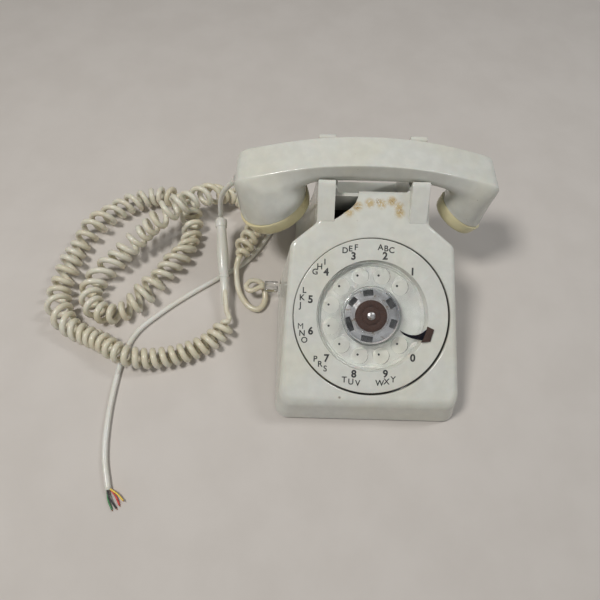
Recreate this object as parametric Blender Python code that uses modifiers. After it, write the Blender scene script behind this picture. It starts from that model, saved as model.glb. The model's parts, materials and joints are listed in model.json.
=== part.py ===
"""Desk telephone with a rotary dial: the design of its parts, in metres, +Z up.

Sizes below are millimetres and become metres through MM. The origin is on the table, under the
middle of the box round the telephone itself. The housing is a little to the right of it, because
the handset lies a little to the left on its cradle.
"""
import math

import bmesh
import bpy
from mathutils import Matrix, Vector

MM = 0.001

# Housing: plan widths at the table, dial slope and wall draft.
BODY_X = 6.0
SLOPE = math.radians(27.0)
DIAL_Y, DIAL_Z = -38.1, 64.4
HALF_DEPTH = 111.5
BOTTOM_Z = 2.5
SIDE_HALF, FRONT_HALF, SIDE_DRAFT = 83.0, 81.0, 0.148
FRONT_LEAN, REAR_LEAN = 0.22, 0.07
SHOULDER_LOW, SHOULDER_HIGH = 61.0, 80.0
NECK_HALF, NECK_FLARE, NECK_TOP = 48.3, 20.0, 100.7
SADDLE_Z = 111.3
EDGE_ROUND = 5.0
WALL = 2.5
# Cradle.
EAR_X, EAR_WIDTH = 40.0, 15.0
PLUNGER_Y, PLUNGER_R = 79.0, 3.0
RECESS_HALF = 31.0
# Places of the handset jack, the line cord's way out and the clapper's pivot.
JACK_X, JACK_Y, JACK_Z = BODY_X - 80.0, 14.0, 15.0
LINE_X, LINE_Z = -32.0, 10.3
CLAPPER_X = -6.9
# Dial, measured along its normal from the housing's face.
PLATE_R, OPENING_R, OPENING_SHIFT = 66.0, 67.2, 0.6
WELL_R, WELL_DEPTH = 47.0, 8.0
WHEEL_R, WHEEL_LOW, WHEEL_HIGH = 46.0, -4.0, -1.2
HOLE_CIRCLE, HOLE_R = 35.2, 7.25
HOLE_STEP = 30
HOLE_ANGLES = [45 - HOLE_STEP * i for i in range(10)]
GEAR_R, PINION_R, GEAR_MID = 22.0, 3.6, -22.0
# Handset.
HANDSET_Y = 78.0
# Cord sizes.
LEAD_R, LINE_R, COIL_R, WIRE_R = 2.5, 2.5, 10.2, 0.7
TOUCH = 0.3

for old in list(bpy.data.objects):
    bpy.data.objects.remove(old)

parts = bpy.data.collections.new("desk_telephone")
tools = bpy.data.collections.new("cutters")
bpy.context.scene.collection.children.link(parts)
bpy.context.scene.collection.children.link(tools)


# ---------------------------------------------------------------- helpers
def finish(name, colour, roughness, metallic=0.0, alpha=1.0):
    """A Principled material."""
    made = bpy.data.materials.new(name)
    made.use_nodes = True
    shader = made.node_tree.nodes["Principled BSDF"]
    shader.inputs["Base Color"].default_value = (*colour, 1.0)
    shader.inputs["Roughness"].default_value = roughness
    shader.inputs["Metallic"].default_value = metallic
    shader.inputs["Alpha"].default_value = alpha
    return made


IVORY = finish("ivory_plastic", (0.72, 0.70, 0.60), 0.3)
CREAM = finish("yellowed_plastic", (0.66, 0.62, 0.42), 0.35)
CLEAR = finish("clear_plastic", (0.85, 0.87, 0.88), 0.1, alpha=0.4)
STEEL = finish("zinc_steel", (0.6, 0.6, 0.6), 0.4, 1.0)
DARK_STEEL = finish("blued_steel", (0.12, 0.13, 0.18), 0.35, 1.0)
RUST = finish("rusty_steel", (0.25, 0.12, 0.08), 0.8, 0.3)
BRASS = finish("brass", (0.72, 0.56, 0.28), 0.35, 1.0)
COPPER = finish("copper_coil", (0.55, 0.28, 0.14), 0.5, 0.6)
BLACK = finish("black_rubber", (0.03, 0.03, 0.03), 0.7)
GREY = finish("grey_moulding", (0.3, 0.3, 0.3), 0.5)
CORD_CREAM = finish("cord_cream", (0.75, 0.70, 0.56), 0.45)
CORD_WHITE = finish("cord_white", (0.8, 0.79, 0.74), 0.45)


def empty(name, matrix):
    """An empty that carries the local frame of a group of pieces, given in millimetres."""
    made = bpy.data.objects.new(name, None)
    place = matrix.copy()
    place.translation = matrix.translation * MM
    made.matrix_world = place
    parts.objects.link(made)
    return made


def add(name, mesh, material, parent=None, at=(0, 0, 0), cutter=False):
    """A new object from a mesh, at a place in millimetres in its parent's frame."""
    made = bpy.data.objects.new(name, mesh)
    (tools if cutter else parts).objects.link(made)
    made.parent = parent
    made.location = Vector(at) * MM
    if cutter:
        made.hide_render = True
        made.display_type = "WIRE"
    if material:
        mesh.materials.append(material)
    return made


def mesh_of(bm, name, smooth=False):
    """A mesh in metres from a bmesh in millimetres."""
    bmesh.ops.scale(bm, vec=(MM, MM, MM), verts=bm.verts)
    mesh = bpy.data.meshes.new(name)
    bm.to_mesh(mesh)
    bm.free()
    if smooth:
        mesh.shade_smooth()
        mesh.set_sharp_from_angle(angle=math.radians(40))
    return mesh


def box(name, size, centre, material=None, parent=None, bevel=0.0, cutter=False, at=(0, 0, 0)):
    """A box by its size and centre, with rounded edges if a bevel is given."""
    bm = bmesh.new()
    bmesh.ops.create_cube(bm, size=1.0)
    bmesh.ops.scale(bm, vec=size, verts=bm.verts)
    bmesh.ops.translate(bm, vec=centre, verts=bm.verts)
    made = add(name, mesh_of(bm, name), material, parent, at, cutter)
    if bevel:
        rounding = made.modifiers.new("rounded edges", "BEVEL")
        rounding.width = bevel * MM
        rounding.segments = 2
    return made


def cylinder(name, radius, low, high, material=None, parent=None, at=(0, 0, 0), sides=24,
             cutter=False, along="Z", shift=(0, 0, 0)):
    """A cylinder between two levels of its own axis."""
    bm = bmesh.new()
    bmesh.ops.create_cone(bm, cap_ends=True, segments=sides, radius1=radius, radius2=radius,
                          depth=high - low)
    bmesh.ops.translate(bm, vec=(0, 0, (low + high) / 2), verts=bm.verts)
    if along == "X":
        bmesh.ops.rotate(bm, matrix=Matrix.Rotation(math.pi / 2, 3, "Y"), verts=bm.verts)
    if along == "Y":
        bmesh.ops.rotate(bm, matrix=Matrix.Rotation(-math.pi / 2, 3, "X"), verts=bm.verts)
    bmesh.ops.translate(bm, vec=shift, verts=bm.verts)
    return add(name, mesh_of(bm, name, smooth=True), material, parent, at, cutter)


def turned(name, profile, material, parent=None, at=(0, 0, 0), steps=32):
    """A turned piece: a profile of (radius, height) points, outer side first, top to bottom."""
    bm = bmesh.new()
    points = [bm.verts.new((r, 0, z)) for r, z in profile]
    closed = profile[0][0] > 0 and profile[-1][0] > 0
    for a, b in zip(points, points[1:] + points[:1] if closed else points[1:]):
        bm.edges.new((a, b))
    made = add(name, mesh_of(bm, name), material, parent, at)
    screw = made.modifiers.new("turned", "SCREW")
    screw.steps = screw.render_steps = steps
    screw.use_merge_vertices = True
    screw.merge_threshold = 0.00001
    screw.use_smooth_shade = True
    return made


def prism(name, outline, low, high, material=None, parent=None, across="Z", cutter=False,
          at=(0, 0, 0)):
    """A flat outline given a thickness. Across X, the outline is (y, z)."""
    bm = bmesh.new()
    first = [bm.verts.new((u, v, low)) for u, v in outline]
    face = bm.faces.new(first)
    raised = bmesh.ops.extrude_face_region(bm, geom=[face])
    tops = [item for item in raised["geom"] if isinstance(item, bmesh.types.BMVert)]
    bmesh.ops.translate(bm, vec=(0, 0, high - low), verts=tops)
    if across == "X":
        turn = Matrix(((0, 0, 1), (1, 0, 0), (0, 1, 0)))
        bmesh.ops.rotate(bm, matrix=turn, verts=bm.verts)
    bmesh.ops.recalc_face_normals(bm, faces=bm.faces)
    return add(name, mesh_of(bm, name), material, parent, at, cutter)


def cut(target, cutter, operation="DIFFERENCE"):
    """A Boolean with a cutter, or a union with a piece that then only serves the target."""
    change = target.modifiers.new(cutter.name, "BOOLEAN")
    change.operation = operation
    change.object = cutter
    change.solver = "EXACT"
    return target


def smooth_route(points, spacing):
    """Points about a spacing apart on a smooth curve through the points of a cord's route."""
    knots = [Vector(p) for p in points]
    knots = [2 * knots[0] - knots[1]] + knots + [2 * knots[-1] - knots[-2]]
    route = []
    for before, start, end, after in zip(knots, knots[1:], knots[2:], knots[3:]):
        count = max(1, round((end - start).length / spacing))
        for i in range(count):
            t = i / count
            route.append(0.5 * (2 * start + (end - before) * t
                                + (2 * before - 5 * start + 4 * end - after) * t * t
                                + (3 * start - before - 3 * end + after) * t ** 3))
    return route + [knots[-2]]


def stretch(route, start, end):
    """Part of a route between two shares of its points, each inner end halfway along a step."""
    last = len(route) - 1
    first, final = round(start * last), round(end * last)
    part = route[first:final + 1]
    if start > 0:
        step = route[first + 1] - route[first]
        part[0] = route[first] + step / 2 + step.normalized() * TOUCH / 2
    if end < 1:
        step = route[final + 1] - route[final]
        part.append(route[final] + step / 2 - step.normalized() * TOUCH / 2)
    return part


def tube(name, route, radius, material):
    """A cord as a plain tube along the points of its route."""
    curve = bpy.data.curves.new(name, "CURVE")
    curve.dimensions = "3D"
    curve.bevel_depth = radius * MM
    curve.bevel_resolution = 2
    curve.use_fill_caps = True
    spline = curve.splines.new("POLY")
    spline.points.add(len(route) - 1)
    for point, place in zip(spline.points, route):
        point.co = (*(place * MM), 1)
    curve.materials.append(material)
    made = bpy.data.objects.new(name, curve)
    parts.objects.link(made)
    return made


# ---------------------------------------------------------------- housing
def top_of(y, drop=0.0):
    """Height of the housing's upper surface: the dial slope, then the level of the saddles."""
    slope = DIAL_Z + (y - DIAL_Y) * math.tan(SLOPE)
    return min(slope, SADDLE_Z) - drop


def corner(before, at, after, radius, steps):
    """Points of an arc that rounds the corner of a plan outline."""
    to_before = (before - at).normalized()
    to_after = (after - at).normalized()
    half = to_before.angle(to_after) / 2
    reach = radius / math.tan(half)
    middle = at + (to_before + to_after).normalized() * radius / math.sin(half)
    start = at + to_before * reach - middle
    end = at + to_after * reach - middle
    swing = start.angle_signed(end)
    return [middle + Matrix.Rotation(-swing * i / steps, 2) @ start for i in range(steps + 1)]


def half_outline(z, inset):
    """Right half of the housing's plan at one height, from the front corner to the rear."""
    side = SIDE_HALF - (z - BOTTOM_Z) * SIDE_DRAFT - inset
    front = side - (SIDE_HALF - FRONT_HALF)
    low = max(0.0, NECK_TOP - z) / (NECK_TOP - BOTTOM_Z)
    neck = NECK_HALF + NECK_FLARE * low ** 2.6 - inset
    front_y = -HALF_DEPTH + (z - BOTTOM_Z) * FRONT_LEAN + inset
    rear_y = HALF_DEPTH - (z - BOTTOM_Z) * REAR_LEAN - inset
    shoulder_low = DIAL_Y + SHOULDER_LOW * math.cos(SLOPE) + 9.0 * low - inset / 2
    shoulder_high = DIAL_Y + SHOULDER_HIGH * math.cos(SLOPE) + 7.0 * low - inset / 2
    keys = [Vector(p) for p in ((0, front_y), (front, front_y), (side, shoulder_low),
                                (neck, shoulder_high), (neck * 0.985, rear_y), (0, rear_y))]
    radii = (12.0 - inset, 7.0, 4.0, 8.0 - inset)
    steps = (5, 3, 2, 4)
    points = []
    for i, (radius, count) in enumerate(zip(radii, steps)):
        points += corner(keys[i], keys[i + 1], keys[i + 2], radius, count)
        if i == 2:
            crest = DIAL_Y + (SADDLE_Z - DIAL_Z) / math.tan(SLOPE)
            crest_at = (crest - keys[3].y) / (keys[4].y - keys[3].y)
            points.append(keys[3].lerp(keys[4], crest_at))
    return points


def wall_point(index, share, inset, drop, shrink):
    """A point of the wall: a share of the height up to where the rounded edge starts."""
    z = BOTTOM_Z
    for _ in range(4):
        at = half_outline(z, inset)[index]
        z = BOTTOM_Z + share * (top_of(at.y, drop) - shrink - BOTTOM_Z)
    return Vector((at.x, at.y, z))


def shell_form(name, inset=0.0, drop=0.0, floor=None, round_r=EDGE_ROUND):
    """A closed solid with drafted walls, a rounded upper edge and the sloping upper surface."""
    count = len(half_outline(BOTTOM_Z, inset))
    shares = (0.0, 0.14, 0.32, 0.54, 0.77, 1.0)
    rings = [[wall_point(i, share, inset, drop, round_r) for i in range(count)] for share in shares]
    if floor is not None:
        rings.insert(0, [Vector((p.x, p.y, floor)) for p in rings[0]])
    upper = rings[-1]
    for step in range(1, 5):
        swing = math.pi / 2 * step / 4
        ring = []
        for i, p in enumerate(upper):
            ahead = upper[min(i + 1, count - 1)]
            behind = upper[max(i - 1, 0)]
            along = Vector((ahead.x - behind.x, ahead.y - behind.y, 0)).normalized()
            if i == 0:
                along = Vector((1, 0, 0))
            if i == count - 1:
                along = Vector((-1, 0, 0))
            inward = Vector((-along.y, along.x, 0)) * round_r * (1 - math.cos(swing))
            spot = p + inward
            ring.append(Vector((spot.x, spot.y,
                                top_of(spot.y, drop) - round_r * (1 - math.sin(swing)))))
        rings.append(ring)
    bm = bmesh.new()
    grid = []
    for ring in rings:
        right = [bm.verts.new((BODY_X + p.x, p.y, p.z)) for p in ring]
        left = [bm.verts.new((BODY_X - p.x, p.y, p.z)) for p in reversed(ring)]
        grid.append(right + left)
    total = 2 * count
    for lower, higher in zip(grid, grid[1:]):
        for i in range(total):
            j = (i + 1) % total
            bm.faces.new((lower[i], lower[j], higher[j], higher[i]))
    for ring, flip in ((grid[0], True), (grid[-1], False)):
        for i in range(count - 1):
            face = (ring[i], ring[i + 1], ring[total - 2 - i], ring[total - 1 - i])
            bm.faces.new(tuple(reversed(face)) if flip else face)
    bmesh.ops.recalc_face_normals(bm, faces=bm.faces)
    return bm


def prong_outline(front):
    """Side outline (y, z) of a front or a rear cradle prong, rooted inside the housing."""
    if front:
        return [(30.0, 92.0), (33.0, 101.2), (54.4, 125.0), (56.4, 126.6), (58.2, 125.8),
                (58.9, 123.0), (60.4, 112.5), (63.5, 108.5), (63.5, 92.0)]
    return [(92.0, 100.0), (95.5, 110.0), (97.2, 118.0), (97.8, 129.5), (99.3, 131.0),
            (102.2, 131.0), (103.6, 129.5), (104.2, 100.0)]


RECESS = [(57.2, 150.0), (57.2, 101.0), (60.0, 86.0), (67.0, 75.0), (78.0, 69.5), (92.0, 66.5),
          (130.0, 64.0), (130.0, 150.0)]
RECESS_WALL = [(54.7, 150.0), (54.7, 100.5), (57.6, 84.8), (65.2, 72.9), (77.2, 67.0),
               (91.8, 64.0), (130.0, 61.4), (130.0, 150.0)]
NOTCH = [(-33.5, 81.4), (-27.7, 84.8), (-22.7, 88.8), (-16.3, 94.4), (-13.7, 100.1), (-12.9, 104.5),
         (-12.6, 120.0), (-33.5, 120.0)]


def make_housing(dial):
    """The one-piece housing with its cradle ears, dial opening, hand recess and chipped lip."""
    housing = add("housing", mesh_of(shell_form("housing"), "housing", smooth=True), IVORY)
    for side in (-1, 1):
        for front in (True, False):
            x = BODY_X + side * EAR_X
            prong = prism(f"prong_{side}_{front}", prong_outline(front), x - EAR_WIDTH / 2,
                          x + EAR_WIDTH / 2, across="X", cutter=True)
            cut(housing, prong, "UNION")
    hollow = add("hollow", mesh_of(shell_form("hollow", WALL, 3.0, floor=-2.0, round_r=4.0),
                                   "hollow"), None, cutter=True)
    around = prism("recess_wall", RECESS_WALL, BODY_X - RECESS_HALF - 2.3,
                   BODY_X + RECESS_HALF + 2.3, across="X", cutter=True)
    cut(hollow, around)
    cut(housing, hollow)
    recess = prism("recess", RECESS, BODY_X - RECESS_HALF, BODY_X + RECESS_HALF, across="X",
                   cutter=True)
    cut(housing, recess)
    opening = cylinder("opening", OPENING_R, -14, 12, parent=dial, sides=64, cutter=True,
                       at=(OPENING_SHIFT, -OPENING_SHIFT, 0))
    cut(housing, opening)
    notch = prism("notch", NOTCH, -3.6, 20, parent=dial, cutter=True)
    cut(housing, notch)
    for side in (-1, 1):
        hole = cylinder(f"plunger_hole_{side}", PLUNGER_R + 0.6, 100, 125, sides=16, cutter=True,
                        at=(BODY_X + side * EAR_X, PLUNGER_Y, 0))
        cut(housing, hole)
    cut(housing, box("jack_window", (20, 13.4, 11.4), (JACK_X, JACK_Y, JACK_Z), cutter=True))
    cut(housing, box("line_window", (8.6, 20, 8.6), (LINE_X, HALF_DEPTH, LINE_Z), cutter=True))
    return housing


def make_base():
    """Base plate, feet and the two screws that hold the housing."""
    outline = half_outline(5.0, WALL + 0.9)
    loop = [(BODY_X + p.x, p.y) for p in outline] + [(BODY_X - p.x, p.y) for p in reversed(outline)]
    plate = prism("base_plate", loop, 4.0, 5.5, STEEL)
    for end, y in (("front", -96.0), ("rear", 92.0)):
        hole = cylinder(f"screw_hole_{end}", 2.6, 0, 9, sides=12, cutter=True, at=(BODY_X, y, 0))
        cut(plate, hole)
        turned(f"housing_screw_{end}", [(0, 14), (2.0, 14), (2.0, 3.7), (4.5, 3.7), (4.5, 2.0),
                                        (0, 2.0)], STEEL, at=(BODY_X, y, 0), steps=12)
    for name, x, y in (("front_left", -62, -86), ("front_right", 62, -86),
                       ("rear_left", -50, 78), ("rear_right", 50, 78)):
        turned(f"foot_{name}", [(0, 3.7), (9.0, 3.7), (8.2, 0.0), (0, 0.0)], BLACK,
               at=(BODY_X + x, y, 0), steps=20)


# ---------------------------------------------------------------- dial
def make_dial(dial):
    """Everything on the dial's axis, with z along the axis and y up the slope."""
    turned("number_plate", [(PLATE_R - 1.0, 0.0), (PLATE_R, -1.0), (PLATE_R, -2.2),
                            (WELL_R + 1.6, -2.2), (WELL_R - 0.4, -WELL_DEPTH - 1.6),
                            (7.0, -WELL_DEPTH - 1.6), (7.0, -WELL_DEPTH), (WELL_R - 1.6, -WELL_DEPTH),
                            (WELL_R, 0.0)], IVORY, dial, steps=48)
    turned("dial_frame", [(64.0, -2.7), (64.0, -13.0), (8.0, -13.0), (8.0, -11.4), (62.4, -11.4),
                          (62.4, -2.7)], STEEL, dial, steps=40)
    turned("dial_shaft", [(0, -4.4), (3.0, -4.4), (3.0, -32.0), (0, -32.0)], STEEL, dial, steps=16)
    wheel = turned("finger_wheel", [(0, WHEEL_HIGH), (WHEEL_R - 0.7, WHEEL_HIGH),
                                    (WHEEL_R, WHEEL_HIGH - 0.7), (WHEEL_R, WHEEL_LOW),
                                    (0, WHEEL_LOW)], CLEAR, dial, steps=48)
    for i, angle in enumerate(HOLE_ANGLES):
        turn = math.radians(angle)
        hole = cylinder(f"finger_hole_{i}", HOLE_R, -9, 6, parent=dial, sides=18, cutter=True,
                        at=(HOLE_CIRCLE * math.sin(turn), HOLE_CIRCLE * math.cos(turn), 0))
        cut(wheel, hole)
    turned("hub_window", [(23.5, 3.9), (25.4, 2.2), (25.4, -0.9), (23.8, -0.9), (23.8, 1.6),
                          (22.9, 2.5), (14.6, 2.5), (14.6, 3.9)], CLEAR, dial, steps=32)
    turned("retainer_plate", [(23.0, 0.3), (23.0, -0.8), (9.0, -0.8), (9.0, 0.3)], STEEL, dial,
           steps=32)
    turned("centre_disc", [(0, 1.6), (13.6, 1.6), (13.6, 0.6), (0, 0.6)], RUST, dial, steps=28)
    turned("centre_screw", [(0, 3.6), (2.4, 3.6), (3.5, 2.8), (3.5, 1.9), (0, 1.9)], STEEL, dial,
           steps=16)
    turned("main_gear", [(GEAR_R, GEAR_MID + 0.8), (GEAR_R, GEAR_MID - 0.8), (3.3, GEAR_MID - 0.8),
                         (3.3, GEAR_MID + 0.8)], BRASS, dial, steps=40)
    turned("return_spring", [(12.0, -14.0), (12.0, -20.4), (4.0, -20.4), (4.0, -14.0)], DARK_STEEL,
           dial, steps=24)
    box("pulse_contacts", (7, 22, 12), (-33, 4, -20), BRASS, dial)


def make_governor(dial):
    """The pinion that the main gear drives, and the speed governor on its shaft."""
    reach = GEAR_R + PINION_R + 0.3
    turned("pinion", [(0, -19.0), (PINION_R, -19.0), (PINION_R, -25.0), (0, -25.0)], BRASS, dial,
           at=(reach, 0, 0), steps=16)
    turned("governor", [(0, -25.3), (9.0, -25.3), (9.0, -31.0), (0, -31.0)], BRASS, dial,
           at=(reach, 0, 0), steps=24)


def make_finger_stop(dial):
    """The bent steel blade that reaches over the wheel's edge, with its broad outer tab."""
    spine = [(27.5, 117.0, 1.2), (31.5, 113.5, 1.9), (36.0, 111.8, 2.5), (41.0, 111.0, 3.2),
             (46.5, 109.5, 4.6), (48.5, 108.6, 5.8), (55.5, 107.4, 5.4)]
    centre = [Vector((r * math.sin(math.radians(a)), r * math.cos(math.radians(a))))
              for r, a, _ in spine]
    one, other = [], []
    for i, (place, (_, _, half)) in enumerate(zip(centre, spine)):
        along = (centre[min(i + 1, len(spine) - 1)] - centre[max(i - 1, 0)]).normalized()
        across = Vector((-along.y, along.x)) * half
        one.append(place + across)
        other.append(place - across)
    prism("finger_stop", [tuple(p) for p in one + other[::-1]], 0.4, 1.7, DARK_STEEL, dial)


# ---------------------------------------------------------------- inside
def make_ringer():
    """Two gongs, the coil between them on its frame, and the clapper that swings from it."""
    prism("ringer_frame", [(-18.0, 5.8), (12.0, 5.8), (12.0, 30.0), (10.4, 30.0), (10.4, 7.3),
                           (-18.0, 7.3)], -42, 22, STEEL, across="X")
    cylinder("ringer_coil", 9.5, -22, 22, COPPER, along="X", shift=(-10, -2, 18))
    for name, x, radius in (("large", -38.0, 25.0), ("small", 22.0, 23.0)):
        turned(f"gong_{name}", [(3.4, 25.0), (radius * 0.55, 24.0), (radius * 0.9, 19.0),
                                (radius, 10.5), (radius - 1.3, 10.5), (radius * 0.9 - 1.3, 18.3),
                                (radius * 0.55 - 0.4, 22.6), (3.4, 23.6)], BRASS,
               at=(x, -60.0, 0), steps=28)
        turned(f"gong_screw_{name}", [(0, 27.5), (5.0, 27.5), (5.0, 25.4), (3.0, 25.4), (3.0, 5.8),
                                      (0, 5.8)], STEEL, at=(x, -60.0, 0), steps=14)
    pivot = empty("clapper_pivot", Matrix.Translation((CLAPPER_X, -16.0, 0)))
    arm = box("clapper", (1.6, 42.0, 1.6), (0, -23.0, 14.0), STEEL, pivot)
    ball = cylinder("clapper_ball", 3.0, 10.8, 17.2, parent=pivot, at=(0, -44.0, 0), sides=14,
                    cutter=True)
    cut(arm, ball, "UNION")


def make_volume_wheel():
    """The notched wheel under the base that sets how loud the ringer is."""
    teeth = 18
    outline = []
    for i in range(teeth * 2):
        turn = math.pi * i / teeth
        radius = 13.0 if i % 2 == 0 else 11.6
        outline.append((radius * math.cos(turn), radius * math.sin(turn)))
    axis = empty("volume_axis", Matrix.Translation((BODY_X + 60.0, -30.0, 0)))
    prism("volume_wheel", outline, 1.2, 3.6, GREY, axis)


def make_switch_hook():
    """Plungers in the cradle ears, the lever that they push, its bracket and its contacts."""
    for name, side in (("left", -1), ("right", 1)):
        turned(f"plunger_{name}", [(0, 111.5), (1.6, 111.5), (PLUNGER_R, 110.4), (PLUNGER_R, 45.0),
                                   (0, 45.0)], CLEAR, at=(BODY_X + side * EAR_X, PLUNGER_Y, 0),
               steps=16)
    hinge = empty("hook_hinge", Matrix.Translation((BODY_X, 60.0, 42.0)))
    bar = cylinder("hook_lever", 2.4, -46, 46, STEEL, hinge, along="X", sides=14)
    for side in (-1, 1):
        arm = box(f"lever_arm_{side}", (7.0, 25.0, 2.2), (side * EAR_X, 11.5, 1.0), parent=hinge,
                  cutter=True)
        cut(bar, arm, "UNION")
    prism("hook_bracket", [(54.0, 5.8), (70.0, 5.8), (70.0, 7.3), (61.6, 7.3),
                           (61.6, 38.9), (58.4, 38.9), (58.4, 7.3), (54.0, 7.3)],
          BODY_X - 20, BODY_X + 20, STEEL, across="X")
    box("switch_contacts", (12, 20, 14), (BODY_X - 6, 83, 24), GREY)
    box("network_block", (40, 30, 25), (BODY_X + 31, 30, 18.6), GREY, bevel=2.0)


def make_connections():
    """The handset jack in the left wall and the line cord's grommet in the rear wall."""
    box("handset_jack", (12, 12.6, 10.6), (JACK_X + 8.4, JACK_Y, JACK_Z), GREY)
    cylinder("line_grommet", 4.0, -9.0, 0.0, BLACK, along="Y", sides=20,
             shift=(LINE_X, HALF_DEPTH - 0.6, LINE_Z))


# ---------------------------------------------------------------- handset
# Stations round the handset, from the left seam to the right one. Each plane crosses it from an
# outer point to an inner one, both (x, z): half width, half of the flat back, fullness of the side.
LEFT_SEAM = dict(x=-84.0, z=79.0, tilt=math.radians(26.0), r=33.0)
RIGHT_SEAM = dict(x=87.5, z=77.0, tilt=math.radians(-20.0), r=28.0)


def seam_rim(seam, inner):
    """Inner or outer end of a cup's seam circle in the x-z plane."""
    toward = math.copysign(1, seam["tilt"])
    reach = toward * seam["r"] * (1 if inner else -1)
    return (seam["x"] + reach * math.cos(seam["tilt"]), seam["z"] + reach * math.sin(seam["tilt"]))


STATIONS = [
    (seam_rim(LEFT_SEAM, False), seam_rim(LEFT_SEAM, True), 33.0, 0.0, 2.0),
    ((-115.0, 80.0), (-54.8, 99.0), 32.6, 3.0, 1.9),
    ((-115.0, 97.0), (-54.2, 104.0), 30.4, 10.0, 1.7),
    ((-112.6, 114.0), (-52.0, 108.6), 27.5, 15.8, 1.5),
    ((-98.0, 120.9), (-48.5, 110.8), 24.0, 16.3, 1.4),
    ((-76.0, 127.3), (-43.5, 111.7), 20.5, 16.5, 1.35),
    ((-52.0, 132.8), (-36.0, 112.2), 17.4, 16.3, 1.3),
    ((-26.0, 136.3), (-20.0, 112.3), 17.4, 16.3, 1.3),
    ((0.0, 137.5), (0.0, 112.3), 17.4, 16.3, 1.3),
    ((26.0, 136.3), (22.0, 112.3), 17.4, 16.3, 1.3),
    ((52.0, 132.8), (42.0, 112.2), 17.4, 16.3, 1.3),
    ((76.0, 127.3), (51.5, 111.7), 20.0, 16.5, 1.35),
    ((98.0, 120.9), (57.0, 108.5), 23.0, 16.3, 1.4),
    ((112.6, 114.0), (60.6, 103.4), 25.5, 15.8, 1.5),
    ((115.0, 97.0), (61.8, 96.5), 27.2, 10.0, 1.7),
    ((115.0, 80.0), (61.6, 91.0), 27.9, 3.0, 1.9),
    (seam_rim(RIGHT_SEAM, False), seam_rim(RIGHT_SEAM, True), 28.0, 0.0, 2.0),
]


def station_ring(outer, inner, half, flat, power, inset, sides=12):
    """One cross-section: a flat back between two creases, full sides and a rounded belly."""
    outer, inner = Vector((outer[0], 0, outer[1])), Vector((inner[0], 0, inner[1]))
    span = (outer - inner).length / 2
    middle = (outer + inner) / 2
    up = (outer - inner).normalized()
    reach = span - inset
    half = half - inset
    flat = max(0.0, flat - inset)
    quarter = []
    for i in range(sides // 2 + 1):
        turn = math.pi / 2 * i / (sides // 2)
        quarter.append((flat + (half - flat) * math.sin(turn) ** (2 / power),
                        math.cos(turn) ** (2 / power)))
    for i in range(1, sides // 2 + 1):
        turn = math.pi / 2 * i / (sides // 2)
        quarter.append((half * math.cos(turn) ** (2 / 2.3 if flat else 1.0),
                        -math.sin(turn) ** (2 / 2.3 if flat else 1.0)))
    ring = [(y, t) for y, t in quarter] + [(-y, t) for y, t in reversed(quarter[:-1])]
    return [middle + up * reach * t + Vector((0, HANDSET_Y + y, 0)) for y, t in ring]


def handset_form(inset=0.0, overrun=0.0):
    """The handset as a loft round its stations, open for the hollow past both seams."""
    rings = [station_ring(*station, inset) for station in STATIONS]
    for end, seam in ((0, LEFT_SEAM), (-1, RIGHT_SEAM)):
        facing = Vector((math.sin(seam["tilt"]), 0, -math.cos(seam["tilt"]))) * overrun
        rings[end] = [p + facing for p in rings[end]]
    bm = bmesh.new()
    grid = [[bm.verts.new(p) for p in ring] for ring in rings]
    for a, b in zip(grid, grid[1:]):
        for i in range(len(a)):
            j = (i + 1) % len(a)
            if (a[i].co - a[j].co).length > 1e-4 or (b[i].co - b[j].co).length > 1e-4:
                bm.faces.new((a[i], a[j], b[j], b[i]))
    bm.faces.new(grid[0])
    bm.faces.new(list(reversed(grid[-1])))
    bmesh.ops.remove_doubles(bm, verts=bm.verts, dist=0.01)
    bmesh.ops.recalc_face_normals(bm, faces=bm.faces)
    return bm


def seam_frame(name, seam):
    """An empty at a cup's seam, with z out of the cap."""
    facing = Vector((math.sin(seam["tilt"]), 0, -math.cos(seam["tilt"])))
    side = Vector((0, 1, 0))
    turn = Matrix((side.cross(facing), side, facing)).transposed().to_4x4()
    return empty(name, Matrix.Translation((seam["x"], HANDSET_Y, seam["z"])) @ turn)


def make_handset():
    """Handset shell, its two caps and the capsules behind them."""
    shell = add("handset_shell", mesh_of(handset_form(), "handset_shell", smooth=True), IVORY)
    inside = add("handset_hollow", mesh_of(handset_form(2.6, 4.0), "handset_hollow"), None,
                 cutter=True)
    cut(shell, inside)
    cut(shell, cylinder("outlet_hole", 4.5, -20.0, 8.0, parent=OUTLET, sides=16, cutter=True))
    for name, seam in (("transmitter", LEFT_SEAM), ("receiver", RIGHT_SEAM)):
        frame = seam_frame(f"{name}_frame", seam)
        r = seam["r"]
        turned(f"{name}_cap", [(0, 11.6), (r * 0.55, 11.2), (r - 4.5, 9.6), (r - 1.6, 7.0),
                               (r - 0.4, 2.6), (r, 0.35), (r - 3.2, 0.35), (r - 4.2, 6.0),
                               (r - 6.4, 7.6), (0, 8.8)], CREAM, frame, steps=36)
        turned(f"{name}_unit", [(0, 6.0), (r - 8.0, 6.0), (r - 8.0, -7.0), (0, -7.0)], STEEL, frame,
               steps=28)


# ---------------------------------------------------------------- cords
LEAD_UPPER = [(-119.3, 79.5, 92.0), (-123.0, 81.5, 84.5), (-127.5, 84.5, 75.0), (-132.0, 87.5, 64.0),
              (-137.0, 90.0, 51.0), (-140.5, 91.2, 41.0)]
SLEEVE_TOP, SLEEVE_LOW = Vector((-142.2, 89.7, 32.6)), Vector((-133.8, 28.5, 17.0))
LEAD_LOWER = [(-132.0, 16.0, 14.4), (-130.0, 4.0, 13.4), (-126.0, -7.0, 12.9),
              (-123.0, -14.8, 12.7)]
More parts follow.
